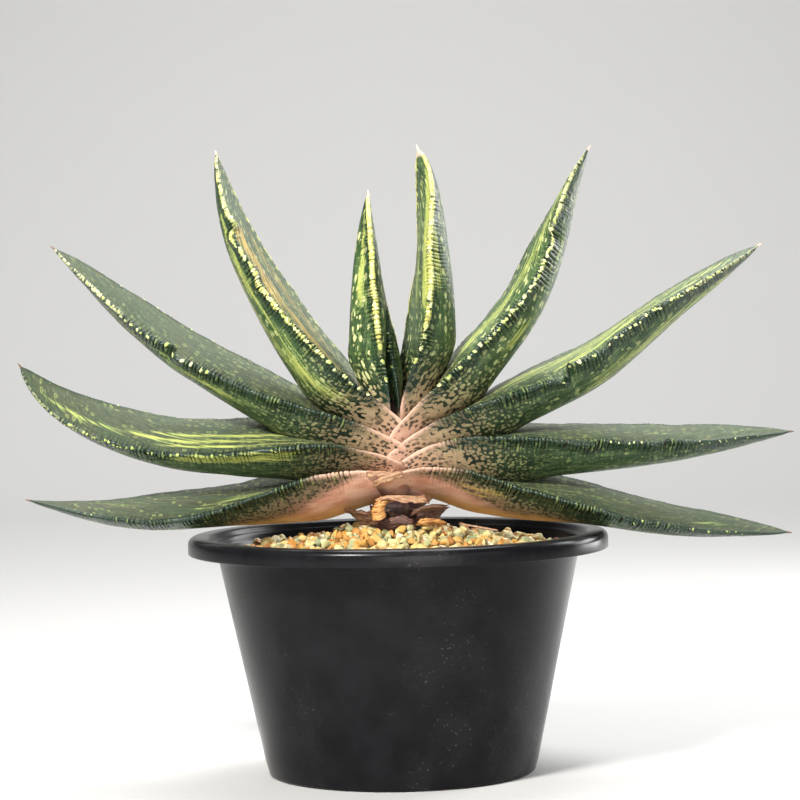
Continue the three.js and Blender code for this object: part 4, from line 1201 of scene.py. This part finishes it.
# A scrap is its name, the node that it replaces, a seed, its paper, and a small grid of points in
# mm: rows across it, from its fixed edge to its free one.
SCRAPS = [
    ("dry_sheath_1_look", ["dry_sheath_1"], 21, "tan", [
        [(-11, -15, 133.5), (-5, -16.7, 136), (2, -16.9, 137.5), (9, -15.5, 138.5), (14, -13, 139)],
        [(-11.5, -18, 137.5), (-5.5, -20, 139.5), (2, -20.3, 139.5), (9, -18.5, 139),
         (15, -15.5, 138)],
        [(-9, -21.5, 135.5), (-6.5, -23, 138.1), (2, -22.5, 136.3), (10, -20.5, 136),
         (16, -17, 135.5)],
    ]),
    ("dry_sheath_4_look", ["dry_sheath_4"], 22, "orange", [
        [(-10, -19, 127.5), (-12, -21.5, 127.8), (-8.5, -24, 128), (-5.5, -22.5, 129.8)],
        [(-9.5, -18, 132.5), (-12.5, -20.5, 133), (-9.5, -23.3, 133.6), (-6, -22, 134.2)],
        [(-6.5, -17, 137.4), (-9.1, -19, 138.4), (-6.5, -21.3, 139), (-3, -20.5, 138.6)],
    ]),
    ("dry_sheath_2_look", ["dry_sheath_2"], 23, "purple", [
        [(9, -13.5, 125), (13, -12, 125.4), (17, -9, 125.8), (20, -5, 126)],
        [(9.5, -15.5, 129), (14.5, -14, 129.6), (19.5, -10.5, 130), (23, -5.5, 130)],
        [(10, -16.5, 132.5), (16, -15.5, 133.2), (22, -12, 133.4), (26, -6, 132.6)],
    ]),
    ("dry_sheath_3_look", ["dry_sheath_3"], 24, "brown", [
        [(-19, -5, 125), (-17, -10.5, 125), (-13, -13.5, 125), (-9, -14.8, 125.4)],
        [(-22.5, -6, 129), (-20, -12, 129), (-15, -15.8, 129), (-10, -17, 129)],
        [(-27, -7, 132.4), (-23, -13.5, 132.8), (-17, -18, 132.4), (-11, -19, 131.8)],
    ]),
    ("dry_sheath_5_look", ["dry_sheath_5"], 25, "tan", [
        [(-12, 10.5, 124.5), (-5, 13, 125), (4, 13, 125), (12, 10, 124.5)],
        [(-13.5, 12.5, 129), (-5.5, 16, 129.6), (4.5, 16, 129.8), (13.5, 12, 129.2)],
        [(-14, 14.5, 132.5), (-6, 18.5, 133.5), (5, 18.6, 133.2), (15, 14, 132)],
    ]),
    ("dry_ribbon_right", [], 26, "orange", [
        [(9, -17, 124.6), (14, -18.2, 124.4), (19, -17.4, 124.6), (24, -15, 124.2)],
        [(9.5, -18.6, 126), (14.5, -20, 126.4), (19.5, -19.2, 126), (24.5, -16.4, 125.2)],
        [(11, -18.8, 127.8), (15, -19.6, 128.4), (19.5, -18.6, 127.6), (23, -16.8, 126.4)],
    ]),
    ("dry_strip_right", [], 27, "tan", [
        [(30, -20.5, 125), (36, -22.5, 123.8), (42, -24.6, 122.6), (49, -26.5, 121.6)],
        [(30.5, -22, 125.6), (36.5, -24, 124.6), (42.5, -26, 123.6), (49.5, -27.6, 122)],
        [(30.5, -23.6, 125), (36.5, -25.6, 124), (42.5, -27.6, 122.8), (49.5, -28.8, 121.8)],
    ]),
    ("dry_wisp_left", [], 28, "purple", [
        [(-9, -15, 121.5), (-4, -16.6, 122.5), (1, -17.4, 123), (6, -17.4, 122)],
        [(-10, -17, 124.5), (-4.5, -19, 126), (1, -19.8, 126.6), (7, -19, 125)],
        [(-9, -18, 127), (-4, -19.4, 129), (2, -19.6, 129.6), (8, -18.4, 127.5)],
    ]),
    ("dry_wisp_right", [], 29, "brown", [
        [(6, -17, 129), (11, -17.6, 131), (16, -16.6, 132), (22, -14, 132.6)],
        [(7, -19, 130.6), (12, -19.8, 132.6), (17, -19, 133.4), (24, -16, 133.6)],
        [(8, -19.6, 132.6), (13, -20, 134.2), (18, -19.6, 135), (26, -17, 134.6)],
    ]),
]
# Papers: light colour, dark colour, and how close their streaks are
PAPERS = {
    "tan": (rgb(196, 158, 122), rgb(128, 88, 64), 1.6),
    "orange": (rgb(214, 162, 92), rgb(140, 86, 42), 1.3),
    "brown": (rgb(140, 104, 78), rgb(66, 42, 32), 1.5),
    "purple": (rgb(120, 88, 76), rgb(46, 24, 30), 1.6),
}
PAPER_RIM = rgb(84, 44, 24)
# Dried margins: leaf, piece name, from and to along the leaf in mm, how wide, and how far they lift
DRY_MARGINS = [
    ("leaf_left_1", "dry_margin_left_1", -7.5, 17, 2, 0.8),
    ("leaf_right_1", "dry_margin_right_1", -7.5, 9, 2.3, 1),
    ("leaf_right_2", "dry_margin_right_2", -11, 5, 1.4, 0.6),
]


def stem_piece(material):
    heights, half_x, half_y = np.array(STEM_PROFILE, float).T
    z = np.linspace(heights[0], heights[-1] + 1, STEM_RINGS)[:, None]
    angles = circle(STEM_SIDES)[None]
    tilt = z + 1.2 * wave(angles, 13, 4)
    ring = np.abs(np.sin(tilt / 2.3 + 0.6 * wave(z / 4, 3)))**1.2
    rough = wave(z / 1.1, 8) * wave(angles * 5, 9)
    relief = 0.7 * ring + 0.35 * rough + 0.3 * wave(angles * 23, 12) - 1
    close = np.interp(z, [heights[-1] - 4, heights[-1] + 1], [1, 0.05])
    rx, ry = ((np.interp(z, heights, half) + relief) * close for half in (half_x, half_y))
    places = np.broadcast_arrays(rx * np.cos(angles), ry * np.sin(angles), z)
    piece = add_mesh("stem_look", np.stack(places, -1).reshape(-1, 3),
                     tube_faces(STEM_RINGS, STEM_SIDES))
    finish_piece(piece, material, "stem", "stem")


def stem_material():
    n = Nodes("ringed_stem")
    place = n.object_place()
    rings = n.noise(place, (80, 80, 700), 4)
    patch = n.noise(place, 160, 4)
    colour = n.mix(n.step(rings, 0.35, 0.65), BARK_DARK, BARK_PALE)
    colour = n.paint(colour, n.step(patch, 0.52, 0.7), 0.7, BARK_PLUM)
    colour = n.mix(n.step(patch, 0.4, 0.3), colour, BARK_TAN)
    n.set(Base_Color=colour, Roughness=0.65, Normal=n.bump(rings, 0.0012, 0.8))
    return n.material


def paper_material(name):
    light, dark, streaks = PAPERS[name]
    n = Nodes("dry_paper_" + name)
    place = n.attribute("scrap_place", "Vector")
    fibre = n.noise(place, (0.22, streaks, 1), 5, 0.62)
    patch = n.noise(place, (0.3, 0.3, 1), 4)
    colour = n.mix(n.step(fibre, 0.36, 0.66), light, dark)
    colour = n.paint(colour, n.step(patch, 0.5, 0.7), 0.75, dark)
    colour = n.paint(colour, n.step(n.attribute("scrap_edge"), 0.09, 0.0), 0.75, PAPER_RIM)
    n.set(Base_Color=colour, Roughness=0.55, Normal=n.bump(fibre, 0.0006, 0.9),
          Subsurface_Weight=0.1, Subsurface_Scale=0.002)
    return n.material


def spline_grid(control, rows, columns):
    """A smooth grid of points through a small grid of control points."""
    across = through(np.swapaxes(control, 0, 1), np.linspace(0, 1, columns))
    return through(across.swapaxes(0, 1), np.linspace(0, 1, rows))


def sheet_normals(middle):
    normal = np.cross(np.gradient(middle, axis=1), np.gradient(middle, axis=0))
    return normal / (np.linalg.norm(normal, axis=-1)[..., None] + 1e-9)


def sheet_piece(name, middle, half, rim, seed, material, nodes=()):
    """A closed thin sheet around a grid of points, half its thickness to each side."""
    rows, columns = middle.shape[:2]
    count = rows * columns
    offset = sheet_normals(middle) * half[..., None]
    places = np.concatenate([(middle + offset).reshape(-1, 3), (middle - offset).reshape(-1, 3)])
    front = grid_faces(rows, columns, False)
    faces = front + [[count + i for i in face[::-1]] for face in front]
    edge = [*range(columns), *(k * columns + columns - 1 for k in range(1, rows))]
    edge += [(rows - 1) * columns + k for k in range(columns - 2, -1, -1)]
    edge += [k * columns for k in range(rows - 2, 0, -1)]
    for a, b in zip(edge, edge[1:] + edge[:1]):
        faces.append((b, a, count + a, count + b))
    piece = add_mesh(name, places, faces)
    long, wide = (np.cumsum(np.linalg.norm(np.diff(middle, axis=axis, prepend=start), axis=-1), axis)
                  for axis, start in ((1, middle[:, :1]), (0, middle[:1])))
    flat = np.stack(np.broadcast_arrays(long, wide, seed), -1).reshape(-1, 3)
    add_vector(piece, "scrap_place", np.concatenate([flat, flat]))
    add_value(piece, "scrap_edge", np.stack([rim, rim]))
    finish_piece(piece, material, "dry_sheath", *nodes)


def scrap_piece(name, nodes, seed, control, material):
    """A wrinkled papery scrap with a ragged free edge."""
    middle = spline_grid(control, SCRAP_ROWS, SCRAP_COLUMNS)
    down = np.gradient(middle, axis=0)
    u, v = np.meshgrid(np.linspace(0, 1, SCRAP_COLUMNS), np.linspace(0, 1, SCRAP_ROWS))
    wrinkle = wave(v * 7 + 0.8 * wave(u * 3, seed + 3), seed, 5) * wave(u * 5, seed + 1, 4)
    pleat = wave(v * 16 + wave(u * 2, seed + 7), seed + 8, 4)
    middle = middle + sheet_normals(middle) * (0.55 * wrinkle + 0.16 * pleat)[..., None]
    ragged = wave(u * 9, seed + 4) + 0.5 * wave(u * 31, seed + 5, 4)
    middle = middle + down * (ragged * smooth(0.45, 1, v) * 3.2)[..., None]
    rim = np.minimum(np.minimum(u, 1 - u), np.minimum(v + 0.3, 1 - v))
    half = 0.16 * (0.4 + 0.6 * smooth(0, 0.08, rim))
    sheet_piece(name, middle, half, rim, seed, material, nodes)


def dry_margin_piece(leaf, name, start, end, wide, lift, seed, material):
    """The papery, dried edge of a leaf's base, peeling a little from its front margin."""
    distance = np.linspace(start, end, MARGIN_COLUMNS)
    grid = section_angles(leaf, distance)
    p, q = outline(leaf, distance, grid["angle"])
    skin = np.stack([p, q, *section_normals(p, q)])
    from_front = np.where(grid["from_front"] < 30, grid["from_front"], 99)
    signed = from_front * grid["above"]
    places = np.zeros((MARGIN_ROWS, MARGIN_COLUMNS, 2))
    for k in range(MARGIN_COLUMNS):
        near = np.argsort(signed[k])
        near = near[np.abs(signed[k][near]) < 8]
        for row, at in enumerate(np.linspace(0.35 * wide, -wide, MARGIN_ROWS)):
            rise = lift * (row / MARGIN_ROWS)**2 * (1 + 0.6 * wave(distance[k] / 2, seed))
            x, y, nx, ny = (np.interp(at, signed[k][near], line[k][near]) for line in skin)
            places[row, k] = (x + (0.35 + rise) * nx, y + (0.35 + rise) * ny)
    middle = leaf_places(leaf, distance, places[..., 0].T, places[..., 1].T).transpose(1, 0, 2)
    u, v = np.meshgrid(np.linspace(0, 1, MARGIN_COLUMNS), np.linspace(0, 1, MARGIN_ROWS))
    ragged = wave(distance / 1.1, seed + 4)[None] * smooth(0.3, 1, v)
    middle = middle + np.gradient(middle, axis=0) * (ragged * 2)[..., None]
    rim = np.minimum(np.minimum(u, 1 - u) * 2, np.minimum(v + 0.2, 1 - v))
    half = 0.14 * (0.4 + 0.6 * smooth(0, 0.1, rim))
    sheet_piece(name, middle, half, rim, seed, material)


# The picture

make_camera()
make_studio()

leaf_skin = leaf_material()
for number, leaf_facts in enumerate(LEAVES):
    leaf_piece(leaf_facts, 100 + 17 * number, leaf_skin)

pot_piece(plastic_material())
stones = gravel_material()
gravel_piece(stones)
bed_piece(stones)
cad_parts["soil"].data.materials.clear()
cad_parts["soil"].data.materials.append(soil_material())
stem_piece(stem_material())
papers = {name: paper_material(name) for name in PAPERS}
for name, nodes, seed, paper, control in SCRAPS:
    scrap_piece(name, nodes, seed, control, papers[paper])
for number, (leaf_name, name, *measures) in enumerate(DRY_MARGINS):
    leaf_facts = next(leaf for leaf in LEAVES if leaf["name"] == leaf_name)
    dry_margin_piece(leaf_facts, name, *measures, 60 + number, papers["tan"])
